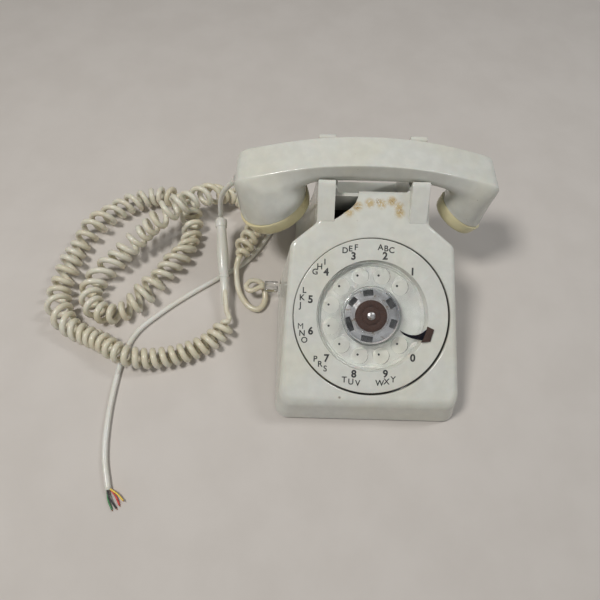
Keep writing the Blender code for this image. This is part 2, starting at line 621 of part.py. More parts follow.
# The curly cord as its outer tube: along the front, round the left, back inside and over to the plug.
COIL_ROUTE = [(-122.4, -17.2, 12.6), (-128.0, -31.0, 10.9), (-140.0, -44.5, 10.4),
              (-157.0, -54.0, 10.4), (-176.0, -60.0, 10.4), (-195.0, -63.0, 11.5),
              (-212.0, -62.5, 15.6), (-226.0, -57.0, 16.8), (-240.0, -48.5, 14.5),
              (-255.0, -42.0, 11.0), (-272.0, -34.0, 10.4), (-287.0, -18.0, 10.4),
              (-294.0, 4.0, 10.4), (-292.0, 30.0, 10.4), (-288.0, 56.0, 10.4),
              (-278.0, 80.0, 10.4), (-262.0, 101.0, 10.4), (-242.0, 117.0, 10.4),
              (-218.0, 127.0, 10.4), (-195.0, 124.5, 10.4), (-180.5, 112.0, 10.4),
              (-174.0, 96.0, 10.4), (-172.0, 78.0, 10.4), (-176.0, 58.0, 10.4),
              (-188.0, 38.0, 10.4), (-200.0, 18.0, 10.4), (-214.0, -2.0, 10.4),
              (-232.0, -17.0, 10.4), (-252.0, -15.0, 10.4), (-263.0, 3.0, 10.4),
              (-256.0, 24.0, 11.5), (-241.0, 43.0, 15.0), (-222.0, 62.0, 24.0),
              (-202.0, 80.0, 32.5), (-178.0, 99.0, 36.0), (-158.0, 115.0, 29.0),
              (-143.0, 126.0, 18.0), (-126.0, 128.0, 12.0), (-112.0, 116.0, 10.8),
              (-106.0, 98.0, 13.0), (-107.0, 79.0, 16.4), (-113.0, 63.0, 16.8),
              (-119.0, 46.0, 15.6)]
COIL_PARTS = {"coil_front": (0.0, 0.16), "coil_left": (0.16, 0.47), "coil_inner": (0.47, 0.74),
              "coil_back": (0.74, 1.0)}
END_LEAD = [(-119.6, 44.0, 15.2), (-121.5, 33.0, 10.0), (-120.5, 20.0, 6.8), (-113.0, 10.5, 6.5),
            (-104.0, 10.5, 9.6), (-97.5, 13.7, 14.4), (-90.6, 14.0, 15.0)]
LINE_CORD = [(-32.0, 111.4, 10.3), (-32.5, 118.0, 9.0), (-37.0, 126.0, 4.4), (-50.0, 131.5, 2.8),
             (-66.0, 126.0, 2.7), (-79.0, 109.0, 2.7), (-89.5, 88.0, 2.7), (-101.0, 66.0, 2.7),
             (-117.0, 46.0, 2.7), (-142.0, 28.0, 2.7), (-168.0, 9.0, 2.7), (-194.0, -13.0, 2.7),
             (-213.0, -34.0, 2.7), (-221.0, -58.0, 2.7), (-223.5, -88.0, 2.7),
             (-223.0, -120.0, 2.7), (-219.0, -150.0, 2.7), (-210.5, -176.0, 2.7)]
WIRE_ENDS = {"red": (0.9, 0.2, (11.0, -11.0)), "yellow": (0.9, 1.7, (14.0, -7.5)),
             "green": (-0.9, 0.2, (5.5, -14.5)), "black": (-0.9, 1.7, (9.0, -13.5))}


def make_cords():
    """Handset cord, its sleeve and plug, and the line cord with its bare wires."""
    turned("cord_outlet", [(0, 7.0), (3.0, 7.0), (3.9, 0.0), (4.2, -3.0), (0, -3.0)], IVORY,
           OUTLET, steps=16)
    along = SLEEVE_LOW - SLEEVE_TOP
    reach = along.normalized()
    upper = LEAD_UPPER + [SLEEVE_TOP - reach * 3.0, SLEEVE_TOP - reach * TOUCH]
    tube("lead_upper", smooth_route(upper, 9.0), LEAD_R, CORD_WHITE)
    sleeve = empty("sleeve_frame", Matrix.Translation(SLEEVE_TOP)
                   @ along.to_track_quat("-Z", "Y").to_matrix().to_4x4())
    length = along.length
    turned("inline_sleeve", [(0, 0), (4.6, 0), (5.8, -1.0), (5.8, -9.0), (5.1, -10.0),
                             (5.3, -length * 0.45), (4.4, -length + 12.0), (3.6, -length + 6.0),
                             (3.9, -length + 3.5), (3.9, -length), (0, -length)], CORD_WHITE,
           sleeve, steps=20)
    lower = [SLEEVE_LOW + reach * TOUCH, SLEEVE_LOW + reach * 3.0] + LEAD_LOWER
    tube("lead_lower", smooth_route(lower, 9.0), LEAD_R, CORD_WHITE)
    whole = smooth_route(COIL_ROUTE, 18.0)
    for name, (start, end) in COIL_PARTS.items():
        tube(name, stretch(whole, start, end), COIL_R, CORD_CREAM)
    tube("end_lead", smooth_route(END_LEAD, 8.0), LEAD_R, CORD_WHITE)
    box("modular_plug", (13.0, 10.0, 7.0), (-83.7, JACK_Y, JACK_Z), CLEAR)
    tube("line_cord", smooth_route(LINE_CORD, 13.0), LINE_R, CORD_WHITE)
    tip = Vector(LINE_CORD[-1])
    ahead = (tip - Vector(LINE_CORD[-2])).normalized()
    across = Vector((-ahead.y, ahead.x, 0))
    for colour, (side, up, end) in WIRE_ENDS.items():
        root = tip + ahead * 0.5 + across * side + Vector((0, 0, up - 0.9))
        target = tip + Vector((end[0], end[1], 0.2 if colour == "yellow" else -1.6))
        middle = root.lerp(target, 0.5) + across * side * 1.2 + Vector((0, 0, 0.4))
        tube(f"wire_{colour}", smooth_route([root, middle, target], 4.0), WIRE_R,
             finish(f"wire_{colour}", (0.5, 0.3, 0.1), 0.5))


outlet_axis = (Vector(LEAD_UPPER[1]) - Vector(LEAD_UPPER[0])).normalized()
OUTLET = empty("outlet_frame", Matrix.Translation(Vector(LEAD_UPPER[0]) - outlet_axis * 7.3)
               @ outlet_axis.to_track_quat("Z", "Y").to_matrix().to_4x4())

dial_axis = empty("dial_axis", Matrix.Translation((BODY_X, DIAL_Y, DIAL_Z))
                  @ Matrix.Rotation(SLOPE, 4, "X"))
make_housing(dial_axis)
make_base()
make_dial(dial_axis)
make_governor(dial_axis)
make_finger_stop(dial_axis)
make_ringer()
make_volume_wheel()
make_switch_hook()
make_connections()
make_handset()
make_cords()
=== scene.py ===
"""Ivory desk telephone with a rotary dial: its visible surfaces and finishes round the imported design.

Lengths in the classes below are millimetres and become metres through MM. X runs to the right and
Y to the rear of the telephone, and Z is up from the table.
"""
import json
import logging
import math
from dataclasses import dataclass, field
from enum import Enum
from typing import Callable, Optional, Sequence

import bmesh
import bpy
from mathutils import Matrix, Vector


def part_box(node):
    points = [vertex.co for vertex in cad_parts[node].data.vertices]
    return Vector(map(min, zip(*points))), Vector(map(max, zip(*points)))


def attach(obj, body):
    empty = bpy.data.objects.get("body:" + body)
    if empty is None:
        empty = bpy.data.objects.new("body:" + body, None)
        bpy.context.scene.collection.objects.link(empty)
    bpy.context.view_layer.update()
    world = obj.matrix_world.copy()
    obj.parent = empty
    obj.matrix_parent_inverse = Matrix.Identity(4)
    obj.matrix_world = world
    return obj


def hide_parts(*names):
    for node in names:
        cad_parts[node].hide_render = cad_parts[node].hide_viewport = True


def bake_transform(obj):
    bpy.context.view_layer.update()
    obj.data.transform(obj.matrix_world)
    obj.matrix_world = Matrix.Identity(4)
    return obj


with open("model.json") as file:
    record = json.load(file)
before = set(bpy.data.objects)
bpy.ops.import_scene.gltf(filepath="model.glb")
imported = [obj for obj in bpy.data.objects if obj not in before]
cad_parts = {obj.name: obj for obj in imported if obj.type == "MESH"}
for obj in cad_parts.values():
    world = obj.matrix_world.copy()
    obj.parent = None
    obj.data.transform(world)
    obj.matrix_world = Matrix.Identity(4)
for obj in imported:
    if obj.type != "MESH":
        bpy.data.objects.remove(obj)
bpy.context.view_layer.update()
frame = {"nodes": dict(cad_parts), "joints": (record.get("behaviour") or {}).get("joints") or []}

MM = 0.001
LOG = logging.getLogger("desk_telephone")

Point = Sequence[float]
Mesh = bpy.types.Object
Socket = bpy.types.NodeSocket


def joint(name: str) -> dict:
    """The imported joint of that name."""
    return next(item for item in frame["joints"] if item["name"] == name)


def dial_matrix() -> Matrix:
    """Frame of the dial in millimetres: u to the right, v up the slope, n out of the face.

    Returns:
        The dial's frame.
    """
    turn = joint("dial_turn")
    slope = math.acos(turn["axis"][2])
    return Matrix.Translation(Vector(turn["pos_m"]) / MM) @ Matrix.Rotation(slope, 4, "X")


DIAL = dial_matrix()
SLOPE = math.acos((DIAL.to_3x3() @ Vector((0, 0, 1))).z)
BODY_X = DIAL.translation.x


def packed_box(node: str) -> tuple[Vector, Vector, Vector]:
    """Lowest corner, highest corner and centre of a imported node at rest, in millimetres."""
    low, high = (Vector(corner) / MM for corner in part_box(node))
    return low, high, (low + high) / 2


# ---------------------------------------------------------------- modelling steps
class Bench:
    """Modelling steps that the sub-assemblies share. They take millimetres."""

    @staticmethod
    def clear() -> None:
        """Deselect everything, in object mode."""
        active = bpy.context.view_layer.objects.active
        if active and active.mode != "OBJECT":
            bpy.ops.object.mode_set(mode="OBJECT")
        bpy.ops.object.select_all(action="DESELECT")

    @staticmethod
    def pick(*pieces: Mesh) -> None:
        """Select these pieces alone, the first of them active.

        Args:
            pieces: The pieces to select.
        """
        Bench.clear()
        for piece in pieces:
            piece.select_set(True)
        bpy.context.view_layer.objects.active = pieces[0]

    @staticmethod
    def named(name: str) -> Mesh:
        """Name the piece that was just added, and settle its place in its mesh.

        Args:
            name: The piece's name.

        Returns:
            The piece.
        """
        piece = bpy.context.active_object
        piece.name = piece.data.name = name
        bpy.ops.object.transform_apply(location=True, rotation=True, scale=True)
        return piece

    @staticmethod
    def drum(name: str, radius: float, low: float, high: float, at: Point = (0, 0), sides: int = 64,
             top: Optional[float] = None) -> Mesh:
        """A round blank between two levels, straight or with a top radius of its own.

        Args:
            name: The piece's name.
            radius: Radius at the bottom.
            low: Lower level.
            high: Upper level.
            at: Place of its axis.
            sides: Number of sides.
            top: Radius at the top, the bottom's if left out.

        Returns:
            The new piece.
        """
        Bench.clear()
        bpy.ops.mesh.primitive_cone_add(
            vertices=sides, radius1=radius * MM, radius2=(radius if top is None else top) * MM,
            depth=(high - low) * MM, location=(at[0] * MM, at[1] * MM, (low + high) / 2 * MM))
        return Bench.named(name)

    @staticmethod
    def block(name: str, size: Point, centre: Point) -> Mesh:
        """A block by its size and centre.

        Args:
            name: The piece's name.
            size: Its size on X, Y and Z.
            centre: Its centre.

        Returns:
            The new piece.
        """
        Bench.clear()
        bpy.ops.mesh.primitive_cube_add(size=1.0, location=[c * MM for c in centre],
                                        scale=[s * MM for s in size])
        return Bench.named(name)

    @staticmethod
    def spun(name: str, profile: Sequence[Point], steps: int = 96) -> Mesh:
        """A turned piece: its profile is drawn by extruding a point, and spun round Z.

        Args:
            name: The piece's name.
            profile: Points (radius, height). It closes on itself unless it starts on the axis.
            steps: Number of steps round.

        Returns:
            The new piece, closed and facing outwards.
        """
        Bench.clear()
        bpy.ops.mesh.primitive_plane_add(size=MM)
        bpy.ops.object.mode_set(mode="EDIT")
        bpy.ops.mesh.select_all(action="SELECT")
        bpy.ops.mesh.merge(type="CENTER")
        bpy.ops.transform.translate(value=(profile[0][0] * MM, 0, profile[0][1] * MM))
        closed = profile[0][0] > 0 or profile[-1][0] > 0
        path = list(profile) + ([profile[0]] if closed else [])
        for (r0, z0), (r1, z1) in zip(path, path[1:]):
            step = {"value": ((r1 - r0) * MM, 0, (z1 - z0) * MM)}
            bpy.ops.mesh.extrude_region_move(TRANSFORM_OT_translate=step)
        bpy.ops.mesh.select_all(action="SELECT")
        bpy.ops.mesh.remove_doubles(threshold=1e-7)
        bpy.ops.mesh.spin(steps=steps, angle=2 * math.pi, center=(0, 0, 0), axis=(0, 0, 1))
        bpy.ops.mesh.select_all(action="SELECT")
        bpy.ops.mesh.remove_doubles(threshold=1e-6)
        bpy.ops.mesh.normals_make_consistent(inside=False)
        bpy.ops.object.mode_set(mode="OBJECT")
        return Bench.named(name)

    @staticmethod
    def sawn(name: str, outline: Sequence[Point], low: float, high: float) -> Mesh:
        """A flat outline drawn point by point, filled, and extruded from one level to another.

        Args:
            name: The piece's name.
            outline: Points (x, y) in order.
            low: Lower level.
            high: Upper level.

        Returns:
            The new piece, closed and facing outwards.
        """
        Bench.clear()
        bpy.ops.mesh.primitive_plane_add(size=MM)
        bpy.ops.object.mode_set(mode="EDIT")
        bpy.ops.mesh.select_all(action="SELECT")
        bpy.ops.mesh.merge(type="CENTER")
        bpy.ops.transform.translate(value=(outline[0][0] * MM, outline[0][1] * MM, low * MM))
        for (x0, y0), (x1, y1) in zip(outline, outline[1:]):
            step = {"value": ((x1 - x0) * MM, (y1 - y0) * MM, 0)}
            bpy.ops.mesh.extrude_region_move(TRANSFORM_OT_translate=step)
        bpy.ops.mesh.select_all(action="SELECT")
        bpy.ops.mesh.edge_face_add()
        rise = {"value": (0, 0, (high - low) * MM)}
        bpy.ops.mesh.extrude_region_move(TRANSFORM_OT_translate=rise)
        bpy.ops.mesh.select_all(action="SELECT")
        bpy.ops.mesh.normals_make_consistent(inside=False)
        bpy.ops.object.mode_set(mode="OBJECT")
        return Bench.named(name)

    @staticmethod
    def rounded(piece: Mesh, width: float, segments: int = 3, angle: float = 30.0) -> Mesh:
        """Round a piece's sharp edges with a bevel.

        Args:
            piece: The piece.
            width: Width of the rounding.
            segments: Number of steps across it.
            angle: The least angle between faces that counts as an edge, in degrees.

        Returns:
            The piece.
        """
        bevel = piece.modifiers.new("rounded", "BEVEL")
        bevel.width = width * MM
        bevel.segments = segments
        bevel.limit_method = "ANGLE"
        bevel.angle_limit = math.radians(angle)
        bevel.harden_normals = False
        return Bench.applied(piece, bevel)

    @staticmethod
    def applied(piece: Mesh, modifier: bpy.types.Modifier) -> Mesh:
        """Apply one modifier.

        Args:
            piece: The piece.
            modifier: The modifier, which is on the piece.

        Returns:
            The piece.
        """
        Bench.pick(piece)
        bpy.ops.object.modifier_apply(modifier=modifier.name)
        return piece

    @staticmethod
    def carved(piece: Mesh, *tools: Mesh, operation: str = "DIFFERENCE") -> Mesh:
        """Cut a piece with tools, or add them to it, and clear the tools away.

        Args:
            piece: The piece.
            tools: The pieces to cut with or add, which are cleared away.
            operation: DIFFERENCE to cut or UNION to add.

        Returns:
            The piece.
        """
        for tool in tools:
            change = piece.modifiers.new(tool.name, "BOOLEAN")
            change.object = tool
            change.operation = operation
            change.solver = "EXACT"
            Bench.applied(piece, change)
            bpy.data.objects.remove(tool)
        return piece

    @staticmethod
    def placed(piece: Mesh, matrix: Matrix) -> Mesh:
        """Move a piece from its own frame, in millimetres, to its place in the telephone.

        Args:
            piece: The piece.
            matrix: Where its own frame stands, in millimetres.

        Returns:
            The piece.
        """
        shift = matrix.copy()
        shift.translation = matrix.translation * MM
        piece.matrix_world = shift @ piece.matrix_world
        Bench.pick(piece)
        bpy.ops.object.transform_apply(location=True, rotation=True, scale=True)
        return piece

    @staticmethod
    def joined(*pieces: Mesh) -> Mesh:
        """Join pieces into the first one.

        Args:
            pieces: The pieces, the first of which takes in the rest.

        Returns:
            The first piece.
        """
        Bench.pick(*pieces)
        bpy.ops.object.join()
        return pieces[0]

    @staticmethod
    def smoothed(piece: Mesh, angle: float = 35.0, weighted: bool = False) -> Mesh:
        """Shade a piece smooth up to an angle, with large faces kept flat if weighted.

        Args:
            piece: The piece.
            angle: The least angle between faces that counts as an edge, in degrees.
            weighted: Whether large faces are kept flat.

        Returns:
            The piece.
        """
        Bench.pick(piece)
        bpy.ops.object.shade_smooth_by_angle(angle=math.radians(angle))
        if weighted:
            normals = piece.modifiers.new("weighted", "WEIGHTED_NORMAL")
            normals.keep_sharp = True
            normals.weight = 80
            Bench.applied(piece, normals)
        return piece

    @staticmethod
    def meshed(name: str, build: bmesh.types.BMesh) -> Mesh:
        """A piece from a bmesh in millimetres, merged and facing outwards.

        Args:
            name: The piece's name.
            build: The mesh as it was built, which is freed.

        Returns:
            The new piece.
        """
        bmesh.ops.remove_doubles(build, verts=build.verts, dist=0.002)
        bmesh.ops.recalc_face_normals(build, faces=build.faces)
        bmesh.ops.scale(build, vec=(MM, MM, MM), verts=build.verts)
        mesh = bpy.data.meshes.new(name)
        build.to_mesh(mesh)
        build.free()
        piece = bpy.data.objects.new(name, mesh)
        bpy.context.scene.collection.objects.link(piece)
        return piece


def arc(centre: Point, radius: float, start: float, end: float, steps: int = 5) -> list[Point]:
    """Points of an arc in a profile, between two angles in degrees."""
    angles = [math.radians(start + (end - start) * i / steps) for i in range(steps + 1)]
    return [(centre[0] + radius * math.cos(a), centre[1] + radius * math.sin(a)) for a in angles]


# ---------------------------------------------------------------- finishes
class Sheet:
    """A material's node tree, with short calls for the nodes that the finishes use."""

    def __init__(self, name: str) -> None:
        """Start a material with its Principled shader.

        Args:
            name: The slot, from which the material takes its name.
        """
        self.material = bpy.data.materials.new(f"{name}_finish")
        self.material.use_nodes = True
        self.tree = self.material.node_tree
        self.shader = self.tree.nodes["Principled BSDF"]
        self.place = self.tree.nodes.new("ShaderNodeTexCoord").outputs["Object"]

    def set(self, **values: object) -> None:
        """Set the shader's own sockets, named with underscores, to constants.

        Args:
            values: Value of each socket, by the socket's name.
        """
        for key, value in values.items():
            socket = self.shader.inputs[key.replace("_", " ").title().replace("Ior", "IOR")]
            socket.default_value = (*value, 1.0) if isinstance(value, tuple) else value

    def drive(self, name: str, source: Socket) -> None:
        """Drive one of the shader's sockets from a node."""
        self.tree.links.new(source, self.shader.inputs[name])

    def node(self, kind: str, links: dict, **settings: object) -> bpy.types.Node:
        """A new node with its settings, and its inputs linked or set.

        Args:
            kind: The node's type.
            links: Sockets to link and values to set, by input.
            settings: The node's own settings.

        Returns:
            The node.
        """
        made = self.tree.nodes.new(kind)
        for key, value in settings.items():
            setattr(made, key, value)
        for key, value in links.items():
            if isinstance(value, bpy.types.NodeSocket):
                self.tree.links.new(value, made.inputs[key])
            elif value is not None:
                made.inputs[key].default_value = value
        return made

    def noise(self, size: float, detail: float = 4.0, rough: float = 0.55, where: Optional[Socket] = None,
              stretch: Point = (1, 1, 1)) -> Socket:
        """Noise with features about a size in millimetres across, stretched along an axis if asked.

        Args:
            size: Size of its features.
            detail: Number of finer layers.
            rough: How strong the finer layers are.
            where: The place that it reads, that of the piece if left out.
            stretch: Scale on each axis.

        Returns:
            The socket that carries the result.
        """
        source = where or self.place
        if tuple(stretch) != (1, 1, 1):
            source = self.node("ShaderNodeMapping", {0: source, "Scale": stretch}).outputs[0]
        links = {"Vector": source, "Scale": 1 / (size * MM), "Detail": detail, "Roughness": rough}
        return self.node("ShaderNodeTexNoise", links).outputs["Fac"]

    def range(self, value: Socket, low: float, high: float, to_low: float = 0.0,
              to_high: float = 1.0) -> Socket:
        """A value mapped smoothly from one range to another.

        Args:
            value: The value.
            low: Start of its range.
            high: End of its range.
            to_low: What the start becomes.
            to_high: What the end becomes.

        Returns:
            The socket that carries the result.
        """
        links = {"Value": value, "From Min": low, "From Max": high, "To Min": to_low, "To Max": to_high}
        return self.node("ShaderNodeMapRange", links, interpolation_type="SMOOTHSTEP").outputs[0]

    def math(self, kind: str, a: object, b: object = None) -> Socket:
        """A math node's result."""
        return self.node("ShaderNodeMath", {0: a, 1: b}, operation=kind).outputs[0]

    def mix(self, share: object, first: object, second: object, kind: str = "MIX") -> Socket:
        """Two colours mixed by a share.

        Args:
            share: Share of the second colour.
            first: First colour.
            second: Second colour.
            kind: How they are mixed.

        Returns:
            The socket that carries the result.
        """
        def colour(value: object) -> object:
            return (*value, 1.0) if isinstance(value, tuple) else value
        made = self.node("ShaderNodeMix", {0: share, 6: colour(first), 7: colour(second)},
                         data_type="RGBA", blend_type=kind)
        return made.outputs[2]

    def bump(self, height: Socket, depth: float, strength: float = 1.0) -> None:
        """Raise the surface by a height of a depth in millimetres, over what is there already.

        Args:
            height: The height, from none to one.
            depth: Its depth in millimetres.
            strength: How much of it counts.
        """
        below = self.shader.inputs["Normal"].links
        links = {"Height": height, "Distance": depth * MM, "Strength": strength}
        if below:
            links["Normal"] = below[0].from_socket
        self.drive("Normal", self.node("ShaderNodeBump", links).outputs[0])

    def near(self, centre: Point, reach: float, soft: float, squash: Point = (1, 1, 1)) -> Socket:
        """One near a place in millimetres, falling to none at its reach.

        Args:
            centre: The place.
            reach: Distance at which nothing is left.
            soft: Width of the falling edge.
            squash: Scale on each axis.

        Returns:
            The socket that carries the result.
        """
        at = [c * MM * s for c, s in zip(centre, squash)]
        scaled = self.node("ShaderNodeVectorMath", {0: self.place, 1: squash}, operation="MULTIPLY")
        away = self.node("ShaderNodeVectorMath", {0: scaled.outputs[0], 1: at}, operation="DISTANCE")
        return self.range(away.outputs["Value"], (reach - soft) * MM, reach * MM, 1.0, 0.0)

    def greatest(self, values: Sequence[Socket]) -> Socket:
        """The greatest of several values.

        Args:
            values: The values.

        Returns:
            The socket that carries the result.
        """
        result = values[0]
        for value in values[1:]:
            result = self.math("MAXIMUM", result, value)
        return result


@dataclass(frozen=True)
class Mark:
    """A stain or a rub: its place, how far it reaches, its colour and how broken it is."""

    places: tuple
    reach: float
    colour: tuple
    grain: float = 1.6
    cover: float = 0.5
    strength: float = 0.8


@dataclass(frozen=True)
class Plastic:
    """Glossy moulded plastic with uneven ageing, fine scratches, dust specks and stains."""

    name: str
    colour: tuple
    aged: tuple
    roughness: float = 0.15
    ripple: float = 0.02
    specks: float = 0.5
    marks: tuple = ()

    def build(self) -> bpy.types.Material:
        """Make the material.

        Returns:
            The new material.
        """
        sheet = Sheet(self.name)
        ageing = sheet.range(sheet.noise(46, 3), 0.35, 0.7)
        colour = sheet.mix(ageing, self.colour, self.aged)
        cloud = sheet.range(sheet.noise(9, 5), 0.3, 0.75, 0.95, 1.03)
        shade = sheet.node("ShaderNodeCombineColor", {0: cloud, 1: cloud, 2: cloud}).outputs[0]
        colour = sheet.mix(1.0, colour, shade, "MULTIPLY")
        for mark in self.marks:
            near = sheet.greatest([sheet.near(place, mark.reach, mark.reach * 0.75)
                                   for place in mark.places])
            broken = sheet.noise(mark.grain, 6, 0.7)
            level = 0.62 - 0.3 * mark.cover
            spread = sheet.math("MULTIPLY", near, sheet.range(broken, level, level + 0.1))
            colour = sheet.mix(sheet.math("MULTIPLY", spread, mark.strength), colour, mark.colour)
        dots = sheet.node("ShaderNodeTexVoronoi", {"Vector": sheet.place, "Scale": 1 / (6.5 * MM)})
        size = sheet.range(sheet.noise(23, 2), 0.5, 0.72, 0.0, 0.085)
        dirty = sheet.math("LESS_THAN", dots.outputs["Distance"], size)
        colour = sheet.mix(sheet.math("MULTIPLY", dirty, self.specks), colour, (0.16, 0.12, 0.08))
        sheet.drive("Base Color", colour)
        worn = sheet.noise(14, 6, 0.7)
        fine = sheet.noise(0.9, 3, 0.6, stretch=(1, 0.12, 0.6))
        rough = sheet.math("ADD", sheet.range(worn, 0.35, 0.7, self.roughness - 0.04,
                                              self.roughness + 0.06),
                           sheet.range(fine, 0.62, 0.7, 0.0, 0.12))
        sheet.drive("Roughness", rough)
        sheet.bump(sheet.noise(17, 2), self.ripple * 4)
        sheet.bump(sheet.noise(0.5, 2), self.ripple * 0.12)
        sheet.bump(sheet.range(fine, 0.64, 0.7, 1.0, 0.0), self.ripple * 0.3)
        sheet.set(ior=1.5, subsurface_weight=0.04, subsurface_scale=0.0015)
        return sheet.material


@dataclass(frozen=True)
class Metal:
    """Bare or plated metal: brushed or pitted, with tarnish or rust in patches."""

    name: str
    colour: tuple
    stain: tuple
    roughness: float = 0.35
    cover: float = 0.3
    stain_metal: float = 0.4
    patch: float = 5.0
    depth: float = 0.03

    def build(self) -> bpy.types.Material:
        """Make the material.

        Returns:
            The new material.
        """
        sheet = Sheet(self.name)
        patches = sheet.noise(self.patch, 7, 0.65)
        level = 0.72 - 0.44 * self.cover
        share = sheet.range(patches, level - 0.07, level + 0.07)
        grain = sheet.noise(0.7, 4, 0.6)
        bright = sheet.mix(sheet.range(grain, 0.3, 0.7), self.colour,
                           tuple(0.82 * c for c in self.colour))
        dull = sheet.mix(sheet.range(grain, 0.3, 0.7), self.stain, tuple(0.55 * c for c in self.stain))
        sheet.drive("Base Color", sheet.mix(share, bright, dull))
        sheet.drive("Metallic", sheet.range(share, 0.0, 1.0, 1.0, self.stain_metal))
        polish = sheet.range(grain, 0.2, 0.8, self.roughness - 0.06, self.roughness + 0.08)
        sheet.drive("Roughness", sheet.math("ADD", polish, sheet.range(share, 0, 1, 0.0, 0.3)))
        sheet.bump(grain, self.depth)
        sheet.bump(share, self.depth * 1.6)
        return sheet.material


@dataclass(frozen=True)
class Clear:
    """Clear plastic that has clouded, with scratches, through which lamps light what is below."""

    name: str
    tint: tuple
    shadow: float = 0.55
    roughness: float = 0.015

    def build(self) -> bpy.types.Material:
        """Make the material.

        Returns:
            The new material.
        """
        sheet = Sheet(self.name)
        haze = sheet.noise(7, 5, 0.6)
        hairs = sheet.noise(0.8, 4, 0.6, stretch=(1, 0.15, 1))
        sheet.drive("Base Color", sheet.mix(sheet.range(haze, 0.35, 0.7), self.tint,
                                            tuple(0.93 * c for c in self.tint)))
        sheet.drive("Roughness", sheet.math(
            "ADD", sheet.range(haze, 0.4, 0.75, self.roughness, self.roughness + 0.05),
            sheet.range(hairs, 0.62, 0.7, 0.0, 0.08)))
        sheet.bump(sheet.noise(2.5, 2), 0.012)
        sheet.set(transmission_weight=1.0, ior=1.46)
        lit = sheet.node("ShaderNodeBsdfTransparent", {"Color": (*[self.shadow] * 3, 1.0)})
        ray = sheet.node("ShaderNodeLightPath", {}).outputs["Is Shadow Ray"]
        mixed = sheet.node("ShaderNodeMixShader", {0: ray, 1: sheet.shader.outputs[0],
                                                   2: lit.outputs[0]})
        output = sheet.tree.nodes["Material Output"]
        sheet.tree.links.new(mixed.outputs[0], output.inputs["Surface"])
        return sheet.material


@dataclass(frozen=True)
class Sheath:
    """Soft cord sheath: slightly uneven, grubby and duller in places along its length."""

    name: str
    colour: tuple
    aged: tuple
    dirt: tuple = (0.30, 0.24, 0.16)
    roughness: float = 0.24

    def build(self) -> bpy.types.Material:
        """Make the material.

        Returns:
            The new material.
        """
        sheet = Sheet(self.name)
        ageing = sheet.range(sheet.noise(38, 3), 0.38, 0.62)
        colour = sheet.mix(ageing, self.colour, self.aged)
        grime = sheet.math("MULTIPLY", sheet.range(sheet.noise(11, 6, 0.7), 0.52, 0.75),
                           sheet.range(sheet.noise(1.6, 5, 0.65), 0.42, 0.68))
        colour = sheet.mix(sheet.math("MULTIPLY", grime, 0.4), colour, self.dirt)
        sheet.drive("Base Color", colour)
        skin = sheet.noise(1.1, 4, 0.6)
        sheet.drive("Roughness", sheet.math(
            "ADD", sheet.range(skin, 0.3, 0.75, self.roughness - 0.07, self.roughness + 0.1),
            sheet.math("MULTIPLY", grime, 0.25)))
        sheet.bump(sheet.noise(4.5, 2), 0.12)
        sheet.bump(skin, 0.02)
        sheet.set(ior=1.5, subsurface_weight=0.06, subsurface_scale=0.0015)
        return sheet.material


@dataclass(frozen=True)
class Plain:
    """Dull small parts: rubber, ink, enamelled wire and grey mouldings, with grain and dust."""

    name: str
    colour: tuple
    roughness: float = 0.6
    grain: float = 1.2
    depth: float = 0.03
    metallic: float = 0.0
    dust: float = 0.15

    def build(self) -> bpy.types.Material:
        """Make the material.

        Returns:
            The new material.
        """
        sheet = Sheet(self.name)
        grain = sheet.noise(self.grain, 5, 0.6)
        lighter = tuple(min(1.0, 1.35 * c + 0.01) for c in self.colour)
        colour = sheet.mix(sheet.range(grain, 0.35, 0.7), self.colour, lighter)
        settled = sheet.math("MULTIPLY", sheet.range(sheet.noise(8, 5), 0.45, 0.75), self.dust)
        sheet.drive("Base Color", sheet.mix(settled, colour, (0.42, 0.40, 0.36)))
        sheet.drive("Roughness", sheet.range(grain, 0.2, 0.8, self.roughness - 0.08,
                                             min(1.0, self.roughness + 0.1)))
        sheet.bump(grain, self.depth)
        sheet.set(metallic=self.metallic)
        return sheet.material


def on_face(u: float, v: float, n: float = 0.0) -> tuple:
    """A place on the sloping face, from the dial's own frame, in the telephone's millimetres."""
    return tuple(DIAL @ Vector((u, v, n)))


GLUE = Mark(tuple(on_face(u, v) for u, v in ((-21, 88), (-13.5, 93), (-3.4, 96), (6.9, 95.5),
                                             (15.3, 98), (21.4, 93.5), (22.4, 88))),
            6.0, (0.52, 0.37, 0.14), grain=2.2, cover=0.75, strength=0.75)
GLUE_DARK = Mark(tuple(on_face(u, v) for u, v in ((-15, 93), (3.5, 97.5), (16, 98.5), (22, 90))),
                 4.2, (0.30, 0.17, 0.05), grain=0.9, cover=0.5, strength=0.8)
SCUFFS = Mark(((-37, 57, 126), (-31.5, 58, 125), (47.5, 57, 125), (-74, -108, 12), (80, 52, 92),
               (93, 49, 84)), 4.2, (0.22, 0.19, 0.16), grain=1.3, cover=0.2, strength=0.65)
FRONT_MARK = Mark((on_face(-25, -70), (-72, -106, 20)), 1.6, (0.16, 0.14, 0.10), grain=0.9, cover=0.9)


